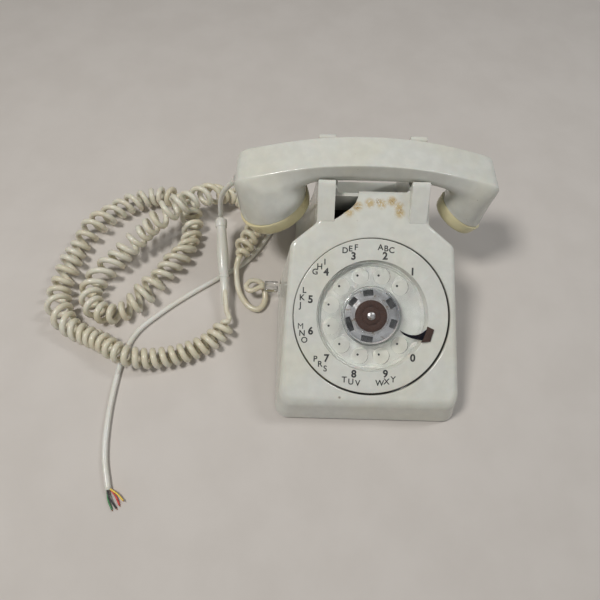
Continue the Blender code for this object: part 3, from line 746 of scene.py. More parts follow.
class Look(Enum):
    """The telephone's finishes, by the record's slots."""

    IVORY = Plastic("ivory_plastic", (0.68, 0.68, 0.625), (0.68, 0.668, 0.58),
                    marks=(GLUE, GLUE_DARK, SCUFFS, FRONT_MARK))
    CREAM = Plastic("yellowed_plastic", (0.73, 0.665, 0.42), (0.69, 0.61, 0.355), roughness=0.3)
    CLEAR = Clear("clear_plastic", (0.94, 0.95, 0.96))
    STEEL = Metal("zinc_steel", (0.62, 0.61, 0.60), (0.30, 0.22, 0.15), cover=0.25)
    BLUED = Metal("blued_steel", (0.02, 0.02, 0.028), (0.035, 0.026, 0.022), roughness=0.42, cover=0.3,
                  patch=3.0)
    RUST = Metal("rusty_steel", (0.108, 0.078, 0.070), (0.092, 0.05, 0.038), roughness=0.5, cover=0.6,
                 stain_metal=0.1, patch=2.2, depth=0.06)
    BRASS = Metal("brass", (0.68, 0.52, 0.26), (0.32, 0.21, 0.10), cover=0.35)
    COPPER = Plain("copper_coil", (0.40, 0.17, 0.07), 0.4, grain=0.5, depth=0.08, metallic=0.5)
    RUBBER = Plain("black_rubber", (0.028, 0.027, 0.026), 0.72)
    GREY = Plain("grey_moulding", (0.24, 0.24, 0.235), 0.5)
    CORD = Sheath("cord_cream", (0.74, 0.705, 0.585), (0.69, 0.63, 0.47))
    LEAD = Sheath("cord_white", (0.76, 0.75, 0.70), (0.73, 0.71, 0.63))
    RED = Plain("wire_red", (0.52, 0.035, 0.025), 0.4, dust=0.05)
    YELLOW = Plain("wire_yellow", (0.72, 0.50, 0.06), 0.4, dust=0.05)
    GREEN = Plain("wire_green", (0.05, 0.20, 0.07), 0.4, dust=0.05)
    BLACK = Plain("wire_black", (0.02, 0.02, 0.02), 0.45, dust=0.1)

    def material(self) -> bpy.types.Material:
        """The finish's material, made once.

        Returns:
            The material.
        """
        if self not in MADE:
            MADE[self] = self.value.build()
        return MADE[self]


MADE: dict[Look, bpy.types.Material] = {}


def dressed(piece: Mesh, look: Look, body: str, *nodes: str) -> Mesh:
    """Give a piece its finish, its body and the nodes that it stands for.

    Args:
        piece: The finished piece.
        look: Its finish, whose name is the record's slot.
        body: The body that it moves with.
        nodes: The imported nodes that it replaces.

    Returns:
        The piece.
    """
    piece.data.materials.clear()
    piece.data.materials.append(look.material())
    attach(piece, body)
    if nodes:
        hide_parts(*nodes)
    LOG.info("%s rides %s, for %s", piece.name, body, ", ".join(nodes) or "nothing packed")
    return piece


# ---------------------------------------------------------------- housing
@dataclass
class Housing:
    """The one-piece housing: sloping face, cradle ears with four prongs, recess and broken lip."""

    half_depth: float = 111.5
    bottom: float = 2.5
    side_half: float = 83.0
    front_half: float = 81.0
    side_draft: float = 0.148
    front_lean: float = 0.22
    rear_lean: float = 0.07
    shoulder_low: float = 61.0
    shoulder_high: float = 80.0
    neck_half: float = 48.3
    neck_flare: float = 20.0
    neck_top: float = 100.7
    saddle: float = 111.3
    edge: float = 5.0
    front_edge: float = 7.0
    wall: float = 2.5
    ear_x: float = 40.0
    ear_width: float = 15.0
    right_prong: float = 2.1
    plunger_y: float = 79.0
    plunger_hole: float = 3.6
    recess_half: float = 31.0
    opening: float = 67.2
    opening_shift: float = 0.6
    heights: int = 22
    round_steps: int = 9

    def top_of(self, y: float, drop: float = 0.0) -> float:
        """Height of the upper surface: the face's slope, then the level of the saddles.

        Args:
            y: Place on Y.
            drop: How far below the outer surface.

        Returns:
            The height.
        """
        centre = DIAL.translation
        return min(centre.z + (y - centre.y) * math.tan(SLOPE), self.saddle) - drop

    def crest(self) -> float:
        """How far back the slope reaches the level of the saddles."""
        return DIAL.translation.y + (self.saddle - DIAL.translation.z) / math.tan(SLOPE)

    @staticmethod
    def corner(before: Vector, at: Vector, after: Vector, radius: float, steps: int) -> list[Vector]:
        """Points of an arc that rounds a corner of the plan.

        Args:
            before: The point before the corner.
            at: The corner.
            after: The point after it.
            radius: Radius of the arc.
            steps: Number of steps along it.

        Returns:
            The points.
        """
        one = (before - at).normalized()
        two = (after - at).normalized()
        half = one.angle(two) / 2
        reach = radius / math.tan(half)
        middle = at + (one + two).normalized() * radius / math.sin(half)
        start = at + one * reach - middle
        swing = start.angle_signed(at + two * reach - middle)
        return [middle + Matrix.Rotation(-swing * i / steps, 2) @ start for i in range(steps + 1)]

    def half_plan(self, z: float, inset: float) -> list[Vector]:
        """Right half of the plan at one height, from the front corner to the rear.

        Args:
            z: Height.
            inset: How far inside the outer surface.

        Returns:
            The points, from the middle of the front to that of the rear.
        """
        side = self.side_half - (z - self.bottom) * self.side_draft - inset
        low = max(0.0, self.neck_top - z) / (self.neck_top - self.bottom)
        neck = self.neck_half + self.neck_flare * low ** 2.6 - inset
        front = -self.half_depth + (z - self.bottom) * self.front_lean + inset
        rear = self.half_depth - (z - self.bottom) * self.rear_lean - inset
        centre = DIAL.translation.y
        lower = centre + self.shoulder_low * math.cos(SLOPE) + 9.0 * low - inset / 2
        upper = centre + self.shoulder_high * math.cos(SLOPE) + 7.0 * low - inset / 2
        keys = [Vector(p) for p in ((0, front), (side - self.side_half + self.front_half, front),
                                    (side, lower), (neck, upper), (neck * 0.985, rear), (0, rear))]
        plan = []
        for i, (radius, steps) in enumerate(zip((12.0 - inset, 7.0, 4.0, 8.0 - inset), (14, 8, 6, 10))):
            plan += self.corner(keys[i], keys[i + 1], keys[i + 2], radius, steps)
            if i == 2:
                share = (self.crest() - keys[3].y) / (keys[4].y - keys[3].y)
                plan.append(keys[3].lerp(keys[4], share))
        return plan

    def edge_at(self, y: float, edge: float) -> float:
        """Radius of the rounded edge, larger along the front."""
        return edge + (self.front_edge - self.edge) * ease((-82.0 - y) / 24.0)

    def rings(self, inset: float, drop: float, edge: float, floor: Optional[float]) -> list:
        """Rings of the right half, up the wall and over the rounded edge.

        Args:
            inset: How far inside the outer surface.
            drop: How far below the outer surface.
            edge: Radius of the rounded edge.
            floor: Height of an extra ring below the others, none if left out.

        Returns:
            The rings, from the lowest up.
        """
        count = len(self.half_plan(self.bottom, inset))
        lead = math.atan(self.front_lean)
        rings = []
        for level in range(self.heights + 1):
            ring = []
            for i in range(count):
                z = self.bottom
                for _ in range(5):
                    at = self.half_plan(z, inset)[i]
                    top = self.top_of(at.y, drop) - self.edge_at(at.y, edge) * (1 - math.sin(lead))
                    z = self.bottom + level / self.heights * (top - self.bottom)
                ring.append(Vector((at.x, at.y, z)))
            rings.append(ring)
        if floor is not None:
            rings.insert(0, [Vector((p.x, p.y, floor)) for p in rings[0]])
        upper = rings[-1]
        for step in range(1, self.round_steps + 1):
            swing = lead + (math.pi / 2 - lead) * step / self.round_steps
            ring = []
            for i, p in enumerate(upper):
                along = upper[min(i + 1, count - 1)] - upper[max(i - 1, 0)]
                along = Vector((along.x, along.y, 0)).normalized()
                reach = self.edge_at(p.y, edge)
                inward = Vector((-along.y, along.x, 0))
                spot = p + inward * reach * (math.cos(lead) - math.cos(swing))
                ring.append(Vector((spot.x, spot.y,
                                    self.top_of(spot.y, drop) - reach * (1 - math.sin(swing)))))
            rings.append(ring)
        return rings

    def form(self, name: str, inset: float = 0.0, drop: float = 0.0, edge: float = 5.0,
             floor: Optional[float] = None) -> Mesh:
        """The closed outer form, or with an inset the hollow inside it.

        Args:
            name: The piece's name.
            inset: How far inside the outer surface.
            drop: How far below the outer surface.
            edge: Radius of the rounded edge.
            floor: Height of an extra ring below the others, none if left out.

        Returns:
            The new piece.
        """
        build = bmesh.new()
        grid = []
        for ring in self.rings(inset, drop, edge, floor):
            right = [build.verts.new((BODY_X + p.x, p.y, p.z)) for p in ring]
            left = [build.verts.new((BODY_X - p.x, p.y, p.z)) for p in reversed(ring)]
            grid.append(right + left)
        total = len(grid[0])
        for lower, higher in zip(grid, grid[1:]):
            for i in range(total):
                j = (i + 1) % total
                build.faces.new((lower[i], lower[j], higher[j], higher[i]))
        for ring in (grid[0], grid[-1]):
            for i in range(total // 2 - 1):
                build.faces.new((ring[i], ring[i + 1], ring[total - 2 - i], ring[total - 1 - i]))
        return Bench.meshed(name, build)

    def across(self, name: str, outline: Sequence[Point], low: float, high: float) -> Mesh:
        """A side outline (y, z) sawn across the telephone between two places on X.

        Args:
            name: The piece's name.
            outline: Points (y, z) in order.
            low: Left end on X.
            high: Right end on X.

        Returns:
            The new piece.
        """
        piece = Bench.sawn(name, outline, low, high)
        turn = Matrix(((0, 0, 1, 0), (1, 0, 0, 0), (0, 1, 0, 0), (0, 0, 0, 1)))
        return Bench.placed(piece, turn)

    def prong(self, side: int, front: bool) -> Mesh:
        """One prong of the cradle, rooted in the housing, with rounded edges.

        Args:
            side: Left if below none, otherwise right.
            front: Whether it is the one in front of the handset.

        Returns:
            The prong.
        """
        outline = ([(30.0, 92.0), (33.0, 101.2), (52.6, 122.4), (54.0, 123.8), (56.0, 124.5),
                    (57.8, 124.2), (58.7, 122.8), (58.9, 120.5), (60.4, 112.5), (62.2, 109.4),
                    (63.5, 108.5), (63.5, 92.0)] if front else
                   [(92.0, 100.0), (95.5, 110.0), (97.2, 118.0), (97.8, 129.5), (99.3, 131.0),
                    (102.2, 131.0), (103.6, 129.5), (104.2, 100.0)])
        x = BODY_X + side * self.ear_x - (self.right_prong if side > 0 else 0.5)
        made = self.across(f"prong_{side}_{front}", outline, x - self.ear_width / 2,
                           x + self.ear_width / 2)
        return Bench.rounded(made, 0.9, 3, 40)

    def build(self) -> Mesh:
        """Make the housing, cut its openings and dress it.

        Returns:
            The housing.
        """
        housing = self.form("housing_shell", edge=self.edge)
        for side in (-1, 1):
            for front in (True, False):
                Bench.carved(housing, self.prong(side, front), operation="UNION")
        hollow = self.form("hollow", self.wall, 3.0, 4.0, floor=-2.0)
        lining = [(54.7, 150.0), (54.7, 100.5), (57.6, 84.8), (65.2, 72.9), (77.2, 67.0), (91.8, 64.0),
                  (130.0, 61.4), (130.0, 150.0)]
        Bench.carved(hollow, self.across("lining", lining, BODY_X - self.recess_half - 2.3,
                                         BODY_X + self.recess_half + 2.3))
        Bench.carved(housing, hollow)
        recess = [(57.2, 150.0), (57.2, 101.0), (60.0, 86.0), (67.0, 75.0), (78.0, 69.5), (92.0, 66.5),
                  (130.0, 64.0), (130.0, 150.0)]
        hand = self.across("hand_recess", recess, BODY_X - self.recess_half, BODY_X + self.recess_half)
        Bench.carved(housing, Bench.rounded(hand, 2.2, 5, 50))
        flare = arc((self.opening + 1.0, -1.13), 1.0, 180, 105, 4)
        ring = [(0.0, 12.0), (self.opening + 2.2, 12.0), (self.opening + 2.2, 0.55), *reversed(flare),
                (self.opening, -14.0), (0.0, -14.0)]
        well = Bench.spun("dial_opening", ring, 128)
        shift = Matrix.Translation((self.opening_shift, -self.opening_shift, 0))
        Bench.carved(housing, Bench.placed(well, DIAL @ shift))
        lip = [(-33.5, 81.2), (-31.0, 82.6), (-27.7, 84.8), (-25.0, 87.2), (-22.7, 88.8), (-19.2, 91.4),
               (-16.8, 94.0), (-15.0, 96.6), (-14.4, 98.6), (-13.6, 100.4), (-13.1, 102.6),
               (-12.6, 104.6), (-12.6, 120.0), (-33.5, 120.0)]
        Bench.carved(housing, Bench.placed(Bench.sawn("broken_lip", lip, -3.6, 20), DIAL))
        stub = [(24.8, 102.0), (25.6, 105.0), (27.5, 105.4), (28.6, 106.8), (30.0, 107.0), (31.2, 108.9),
                (32.0, 109.3), (32.6, 111.2), (34.5, 111.4), (34.5, 102.0)]
        left_over = Bench.rounded(Bench.sawn("torn_stub", stub, -2.6, -0.1), 0.35, 2, 40)
        Bench.carved(housing, Bench.placed(left_over, DIAL), operation="UNION")
        for side in (-1, 1):
            Bench.carved(housing, Bench.drum("hole", self.plunger_hole, 100, 125, sides=32,
                                             at=(BODY_X + side * self.ear_x, self.plunger_y)))
        low, _, centre = packed_box("handset_jack")
        Bench.carved(housing, Bench.block("jack_window", (20, 13.4, 11.4),
                                          (low.x - 2.4, centre.y, centre.z)))
        _, _, centre = packed_box("line_grommet")
        Bench.carved(housing, Bench.block("line_window", (8.6, 20, 8.6),
                                          (centre.x, self.half_depth, centre.z)))
        Bench.smoothed(housing, 32, weighted=True)
        return dressed(housing, Look.IVORY, "base", "housing")


# ---------------------------------------------------------------- dial
@dataclass
class Dial:
    """The number plate with its figures, the clear wheel and hub, and the finger stop."""

    plate: float = 66.0
    well: float = 47.5
    well_shift: float = 1.2
    well_depth: float = 8.0
    wheel: float = 46.0
    wheel_low: float = -4.0
    wheel_high: float = -1.2
    hole_circle: float = 35.2
    hole: float = 7.25
    dot_circle: float = 35.5
    figure_circle: float = 51.9
    letter_circle: float = 58.6
    letter_step: float = 5.8
    print_turn: float = -1.6
    dots_at: tuple = (-1.3, 0.5)
    figures_at: tuple = (-1.3, 0.6)
    letters_at: tuple = (-2.1, 0.5)
    letters: dict = field(default_factory=lambda: {2: "ABC", 3: "DEF", 4: "GHI", 5: "JKL", 6: "MNO",
                                                   7: "PRS", 8: "TUV", 9: "WXY"})

    def hole_angle(self, figure: int) -> float:
        """Angle of a figure's finger hole, clockwise from up the slope, in degrees."""
        return 45.0 - 30.0 * ((figure - 1) % 10)

    def around(self, radius: float, angle: float, centre: Point = (0, 0)) -> tuple:
        """A place (u, v) at a radius and a clockwise angle from a centre."""
        turn = math.radians(angle)
        return (centre[0] + radius * math.sin(turn), centre[1] + radius * math.cos(turn))

    def number_plate(self) -> Mesh:
        """The cream plate: a broad ring with rounded edges, and the well that the wheel turns in.

        Returns:
            The plate.
        """
        rim = [(self.plate, -2.2), *arc((self.plate - 1.0, -1.0), 1.0, 0, 90, 5),
               (self.well + 4.6, 0.0), (self.well + 4.6, -2.2)]
        ring = Bench.spun("number_ring", rim, 160)
        lip = [(self.well + 5.2, -2.2), (self.well + 5.2, 0.0), *arc((self.well + 0.5, -0.5), 0.5, 90, 180),
               *arc((self.well - 3.3, -self.well_depth + 1.6), 1.6, 0, -90, 4), (7.0, -self.well_depth),
               (7.0, -self.well_depth - 1.6), (self.well + 0.6, -self.well_depth - 1.6),
               (self.well + 2.4, -2.2)]
        bowl = Bench.spun("number_plate_well", lip, 128)
        shift = Matrix.Translation((self.well_shift * MM, 0, 0))
        for vertex in bowl.data.vertices:
            if vertex.co.xy.length < (self.well + 3.0) * MM:
                vertex.co = shift @ vertex.co
        Bench.carved(ring, bowl, operation="UNION")
        Bench.placed(ring, DIAL)
        return dressed(Bench.smoothed(ring, 32, weighted=True), Look.IVORY, "base", "number_plate")

    def glyph(self, text: str, size: float, weight: float, place: tuple) -> Mesh:
        """One printed character, upright, as a thin mesh on the plate.

        Args:
            text: The character.
            size: Its size.
            weight: How far it is thickened.
            place: Its centre (u, v).

        Returns:
            The character.
        """
        Bench.clear()
        bpy.ops.object.text_add()
        made = bpy.context.active_object
        made.data.body = text
        made.data.align_x, made.data.align_y = "CENTER", "CENTER"
        made.data.size = size
        made.data.offset = weight
        made.data.extrude = 0.03
        made.data.resolution_u = 4
        bpy.ops.object.convert(target="MESH")
        made.data.transform(Matrix.Translation((place[0], place[1], 0.05)))
        made.data.transform(Matrix.Scale(MM, 4))
        return made

    def print_figures(self) -> Mesh:
        """Figures and letters round the plate, printed in black.

        Returns:
            The printing, as one piece.
        """
        made = []
        for figure in range(10):
            angle = self.hole_angle(figure or 10) + self.print_turn
            place = self.around(self.figure_circle, angle, self.figures_at)
            made.append(self.glyph(str(figure), 8.8, 0.30, place))
            word = self.letters.get(figure, "")
            for i, letter in enumerate(word):
                wider = {2: -1.0, 3: -1.0, 5: 0.6, 6: 0.2}.get(figure, 0.0)
                step = (i - (len(word) - 1) / 2) * (self.letter_step + wider)
                turn = angle + (step if figure < 6 else -step)
                place = self.around(self.letter_circle, turn, self.letters_at)
                made.append(self.glyph(letter, 7.0, 0.0 if letter == "M" else 0.13, place))
        printed = Bench.joined(*made)
        printed.name = printed.data.name = "dial_figures"
        Bench.placed(printed, DIAL)
        return dressed(printed, Look.BLACK, "base")

    def dots(self) -> Mesh:
        """The black dot on the floor of the well under each finger hole.

        Returns:
            The dots, as one piece.
        """
        made = []
        for figure in range(10):
            place = self.around(self.dot_circle, self.hole_angle(figure or 10) + self.print_turn,
                                self.dots_at)
            made.append(Bench.drum(f"dot_{figure}", 1.0, -self.well_depth - 0.02,
                                   -self.well_depth + 0.12, at=place, sides=24))
        return dressed(Bench.placed(Bench.joined(*made), DIAL), Look.BLACK, "base")

    def finger_wheel(self) -> Mesh:
        """The clear wheel: a disc with a thickened rim and ten holes with rounded edges.

        Returns:
            The wheel.
        """
        low, high, rim = self.wheel_low, self.wheel_high, self.wheel
        profile = [(0, high), (rim - 3.4, high), (rim - 2.9, high + 0.35), (rim - 0.6, high + 0.35),
                   (rim, high - 0.2), (rim, low + 0.4), (rim - 0.5, low), (0, low)]
        wheel = Bench.spun("clear_finger_wheel", profile, 128)
        for i in range(10):
            Bench.carved(wheel, Bench.drum(f"hole_{i}", self.hole, -9, 6, sides=48,
                                           at=self.around(self.hole_circle, 44 - 30 * i)))
        Bench.rounded(wheel, 0.45, 3, 50)
        Bench.placed(wheel, DIAL)
        return dressed(Bench.smoothed(wheel, 32, weighted=True), Look.CLEAR, "dial_rotor", "finger_wheel")

    def hub(self) -> None:
        """The clear hub, the steel plate with six windows below it, and the bare centre."""
        ring = [(25.5, -0.9), (25.5, 2.0), *arc((23.9, 2.3), 1.6, 0, 90, 5), (15.4, 3.9),
                *arc((15.4, 3.2), 0.7, 90, 180, 3), (14.7, 2.6), (22.4, 2.6), (23.6, 1.6), (23.7, -0.9)]
        window = Bench.placed(Bench.spun("clear_hub", ring, 96), DIAL)
        dressed(Bench.smoothed(window, 32), Look.CLEAR, "dial_rotor", "hub_window")
        plate = Bench.spun("hub_plate", [(22.8, -0.6), (22.8, 0.3), (8.6, 0.3), (8.6, -0.6)], 96)
        cuts = []
        for angle, wide in ((-8, 8.8), (-53, 8.2), (-112, 12.5), (-171, 10.2), (108, 7.6), (56, 9.0)):
            u, v = self.around(20.0, angle)
            cut = Bench.block(f"window_{angle}", (wide, 5.4, 6), (0, 0, 0))
            cuts.append(Bench.placed(cut, Matrix.Translation((u, v, 0))
                                     @ Matrix.Rotation(-math.radians(angle), 4, "Z")))
        Bench.carved(plate, *cuts)
        Bench.placed(Bench.rounded(plate, 0.2, 2, 50), DIAL)
        dressed(Bench.smoothed(plate), Look.STEEL, "dial_rotor", "retainer_plate")
        backing = [(23.2, -1.1), (23.2, -0.8), (9.0, -0.8), (9.0, -1.1)]
        dark = Bench.placed(Bench.spun("hub_backing", backing, 64), DIAL)
        dressed(Bench.smoothed(dark), Look.BLACK, "dial_rotor")
        disc = [(0, 1.6), (8.6, 1.6), (9.0, 1.75), (12.7, 1.75), (13.6, 1.45), (13.6, 0.6), (0, 0.6)]
        centre = Bench.placed(Bench.spun("bare_centre", disc, 72), DIAL)
        dressed(Bench.smoothed(centre), Look.RUST, "dial_rotor", "centre_disc")
        washer = [(7.6, 1.65), (7.6, 1.95), (7.2, 2.1), (2.8, 2.1), (2.8, 1.65)]
        ringed = Bench.placed(Bench.spun("centre_washer", washer, 48), DIAL)
        dressed(Bench.smoothed(ringed), Look.RUST, "dial_rotor")
        head = [(0, 3.6), (1.6, 3.55), (2.6, 3.2), (3.4, 2.7), (3.5, 2.2), (3.5, 1.9), (0, 1.9)]
        screw = Bench.spun("slotted_screw", head, 48)
        Bench.carved(screw, Bench.placed(Bench.block("slot", (9, 0.9, 1.6), (0, 0, 3.7)),
                                         Matrix.Rotation(math.radians(-38), 4, "Z")))
        Bench.placed(Bench.rounded(screw, 0.08, 2, 50), DIAL)
        dressed(Bench.smoothed(screw), Look.STEEL, "dial_rotor", "centre_screw")

    def finger_stop(self) -> None:
        """The dark blade that hooks in over the wheel, and its rusty tab on the plate."""
        blade = [(24.4, -11.0), (26.0, -12.2), (28.0, -13.2), (31.5, -14.6), (34.9, -15.3), (38.0, -15.3),
                 (40.6, -14.6), (43.8, -13.0), (47.2, -10.2), (46.4, -14.6), (44.6, -19.5),
                 (40.0, -19.1), (35.0, -18.1), (31.5, -16.9), (28.1, -15.2), (25.6, -12.9)]
        tab = [(47.9, -7.6), (53.6, -10.2), (50.6, -20.5), (43.0, -21.3), (45.0, -17.5), (47.0, -12.0)]
        for name, outline, look, nodes, low, high in (
                ("finger_stop_blade", blade, Look.BLUED, ("finger_stop",), 0.55, 1.5),
                ("finger_stop_tab", tab, Look.RUST, (), 0.35, 1.7)):
            piece = Bench.sawn(name, outline, low, high)
            Bench.placed(Bench.rounded(piece, 0.2, 2, 50), DIAL)
            dressed(Bench.smoothed(piece), look, "base", *nodes)

    def build(self) -> None:
        """Make the dial."""
        self.number_plate()
        self.print_figures()
        self.dots()
        self.finger_wheel()
        self.hub()
        self.finger_stop()


# ---------------------------------------------------------------- handset
@dataclass(frozen=True)
class Station:
    """A cross-section: outer and inner point (x, z), half width, half of the flat back, fullness."""

    outer: Point
    inner: Point
    half: float
    flat: float
    power: float
    y: float = 78.0
    lean: float = 0.0


@dataclass(frozen=True)
class Seam:
    """Where a cap meets the handset: its centre, its tilt and lean in degrees and its radius."""

    x: float
    y: float
    z: float
    tilt: float
    lean: float
    radius: float

    def end(self, inner: bool, lift: float = 0.0) -> Point:
        """Inner or outer end of the seam's circle, lifted into the shell by a distance.

        Args:
            inner: Whether it is the end towards the telephone's middle.
            lift: Distance into the shell.

        Returns:
            The place (x, z).
        """
        turn = math.radians(self.tilt)
        reach = math.copysign(1, self.tilt) * self.radius * (1 if inner else -1)
        return (self.x + reach * math.cos(turn) - lift * math.sin(turn),
                self.z + reach * math.sin(turn) + lift * math.cos(turn))

    def station(self, lift: float) -> Station:
        """The handset's cross-section at the seam, or a lift above it.

        Args:
            lift: Distance into the shell.

        Returns:
            The cross-section.
        """
        return Station(self.end(False, lift), self.end(True, lift), self.radius, 0.0, 2.0, self.y,
                       self.lean)

    def matrix(self) -> Matrix:
        """The cap's frame, with z out of the cap.

        Returns:
            The frame.
        """
        turn, lean = math.radians(self.tilt), math.radians(self.lean)
        across = Vector((0, math.cos(lean), math.sin(lean)))
        span = Vector((math.cos(turn), 0, math.sin(turn)))
        facing = across.cross(span).normalized()
        facing = facing if facing.z < 0 else -facing
        side = facing.cross(span).normalized()
        axes = Matrix((span, side, facing)).transposed().to_4x4()
        return Matrix.Translation((self.x, self.y, self.z)) @ axes


@dataclass
class Handset:
    """The handset: a long flat-backed handle between two cups, and the caps on the cups."""

    y: float = 78.0
    left: Seam = Seam(-82.4, 73.8, 76.8, 24.0, -11.0, 34.4)
    right: Seam = Seam(94.8, 71.5, 72.5, -31.0, -14.0, 23.4)
    crease: float = 1.7

    def stations(self) -> list[Station]:
        """Cross-sections from the left seam to the right one.

        Returns:
            The cross-sections.
        """
        left, right = self.left, self.right
        return [
            left.station(0.0),
            left.station(1.2),
            Station((-114.8, 80.0), (-51.0, 98.0), 33.2, 3.0, 1.9, 74.6, -8.0),
            Station((-115.0, 97.0), (-50.9, 103.4), 30.8, 10.0, 1.7, 75.8, -4.0),
            Station((-114.4, 110.0), (-50.2, 107.0), 28.2, 15.2, 1.5, 77.0, -1.5),
            Station((-111.6, 116.6), (-49.0, 109.2), 26.6, 16.0, 1.45, 77.6),
            Station((-105.0, 119.2), (-47.8, 110.3), 25.2, 16.3, 1.42),
            Station((-90.0, 123.4), (-45.8, 111.2), 22.6, 16.4, 1.4),
            Station((-70.0, 128.8), (-41.0, 111.9), 19.4, 16.4, 1.3),
            Station((-50.0, 133.2), (-34.0, 112.2), 17.6, 16.3, 1.25),
            Station((-26.0, 136.4), (-20.0, 112.3), 17.4, 16.3, 1.25),
            Station((0.0, 137.45), (0.0, 112.3), 17.4, 16.3, 1.25),
            Station((26.0, 136.4), (22.0, 112.3), 17.4, 16.3, 1.25),
            Station((50.0, 133.2), (42.0, 112.2), 17.6, 16.3, 1.25),
            Station((70.0, 128.8), (53.5, 111.5), 18.8, 16.4, 1.3),
            Station((90.0, 123.4), (63.0, 109.6), 20.6, 16.4, 1.4),
            Station((105.0, 119.2), (68.5, 106.2), 22.2, 16.3, 1.42, 77.6),
            Station((111.6, 116.6), (71.8, 102.8), 23.0, 16.0, 1.45, 77.0),
            Station((114.4, 110.0), (74.2, 98.4), 23.6, 15.2, 1.5, 76.0, -2.5),
            Station((115.0, 97.0), (75.4, 93.2), 23.9, 10.0, 1.7, 74.6, -6.5),
            Station((115.0, 78.0), (75.6, 88.4), 23.8, 3.0, 1.9, 73.0, -10.5),
            right.station(1.2),
            right.station(0.0),
        ]

    def ring(self, station: Station) -> list[Vector]:
        """Points round a cross-section: flat back, crease, full side and rounded belly.

        Args:
            station: The cross-section.

        Returns:
            The points, in order.
        """
        outer = Vector((station.outer[0], station.y, station.outer[1]))
        inner = Vector((station.inner[0], station.y, station.inner[1]))
        span, middle = (outer - inner).length / 2, (outer + inner) / 2
        up = (outer - inner).normalized()
        lean = math.radians(station.lean)
        across = Vector((0, math.cos(lean), math.sin(lean)))
        full = station.half - station.flat

        def height(y: float) -> float:
            """Share of the span at a distance from the middle of the back."""
            past = max(0.0, y - station.flat) / full
            return (1 - past ** station.power) ** (1 / station.power)

        first, second = max(station.flat - self.crease, 1.3), max(station.flat + 0.02, 3.2)
        quarter = [(first, height(first)), (second, height(second))]
        power = 2 / station.power
        for turn in (24, 46, 68, 90):
            swing = math.radians(turn)
            quarter.append((station.flat + full * math.sin(swing) ** power, math.cos(swing) ** power))
        belly = 2 / (2.3 if station.flat else 2.0)
        for turn in (22.5, 45, 67.5, 90):
            swing = math.radians(turn)
            quarter.append((station.half * max(0.0, math.cos(swing)) ** belly, -math.sin(swing) ** belly))
        quarter[-1] = (0.0, -1.0)
        ring = quarter + [(-y, t) for y, t in reversed(quarter[:-1])]
        return [middle + up * span * t + across * y for y, t in ring]

    def shell(self) -> Mesh:
        """The shell, smoothed from a cage of its cross-sections, with crisp seams.

        Returns:
            The shell.
        """
        build = bmesh.new()
        sharp = build.edges.layers.float.new("crease_edge")
        rings = [[build.verts.new(p) for p in self.ring(station)] for station in self.stations()]
        for a, b in zip(rings, rings[1:]):
            for i in range(len(a)):
                j = (i + 1) % len(a)
                build.faces.new((a[i], a[j], b[j], b[i]))
        for rim in (rings[0], rings[-1]):
            build.faces.new(rim)
            for edge in {e for v in rim for e in v.link_edges if all(w in rim for w in e.verts)}:
                edge[sharp] = 1.0
        shell = Bench.meshed("handset_body", build)
        smooth = shell.modifiers.new("smooth", "SUBSURF")
        smooth.levels = smooth.render_levels = 3
        Bench.applied(shell, smooth)
        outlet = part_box("cord_outlet")
        middle = (Vector(outlet[0]) + Vector(outlet[1])) / 2 / MM
        dip = Bench.drum("outlet_hole", 4.4, -14, 7, sides=32)
        Bench.carved(shell, Bench.placed(dip, Matrix.Translation(middle) @ outlet_turn()))
        return dressed(Bench.smoothed(shell, 40), Look.IVORY, "handset", "handset_shell")

    def cap(self, name: str, seam: Seam, holes: int, node: str, deeper: float) -> Mesh:
        """A yellowed cap, turned, with a ring of sound holes in its face.

        Args:
            name: The piece's name.
            seam: The seam that it sits on.
            holes: Number of holes round the middle one.
            node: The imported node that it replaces.
            deeper: Scale of the cap's depth.

        Returns:
            The cap.
        """
        r = seam.radius
        profile = [(0, 13.6), (r * 0.3, 13.5), (r * 0.55, 13.2), (r - 7.0, 12.6), (r - 4.6, 11.9),
                   (r - 2.9, 10.7), (r - 1.9, 9.0), (r - 1.2, 6.6), (r - 0.6, 3.4), (r, 0.9),
                   (r - 0.12, 0.5), (r - 0.5, 0.35), (r - 3.2, 0.35), (r - 4.2, 8.0), (r - 6.4, 9.8),
                   (0, 10.9)]
        profile = [(reach, depth * (deeper if depth > 1 else 1)) for reach, depth in profile]
        cap = Bench.spun(name, profile, 96)
        drills = [Bench.drum("drill", 1.3, 4, 22, sides=20)]
        for i in range(holes):
            turn = 2 * math.pi * i / holes
            drills.append(Bench.drum(f"drill_{i}", 1.3, 4, 22, sides=20,
                                     at=(9.5 * math.cos(turn), 9.5 * math.sin(turn))))
        Bench.carved(cap, Bench.joined(*drills))
        Bench.placed(cap, seam.matrix())
        return dressed(Bench.smoothed(cap, 35), Look.CREAM, "handset", node)

    def capsule(self, name: str, seam: Seam, node: str) -> Mesh:
        """The round metal capsule that sits under a cap.

        Args:
            name: The piece's name.
            seam: The seam that it sits on.
            node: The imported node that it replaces.

        Returns:
            The capsule.
        """
        made = Bench.drum(name, seam.radius - 6.5, 0.6, 7.0)
        Bench.placed(Bench.rounded(made, 0.8), seam.matrix())
        return dressed(Bench.smoothed(made), Look.STEEL, "handset", node)

    def build(self) -> None:
        """Make the handset."""
        self.shell()
        self.capsule("transmitter_capsule", self.left, "transmitter_unit")
        self.capsule("receiver_capsule", self.right, "receiver_unit")
        self.cap("mouthpiece_cap", self.left, 8, "transmitter_cap", 1.22)
        self.cap("earpiece_cap", self.right, 6, "receiver_cap", 1.0)


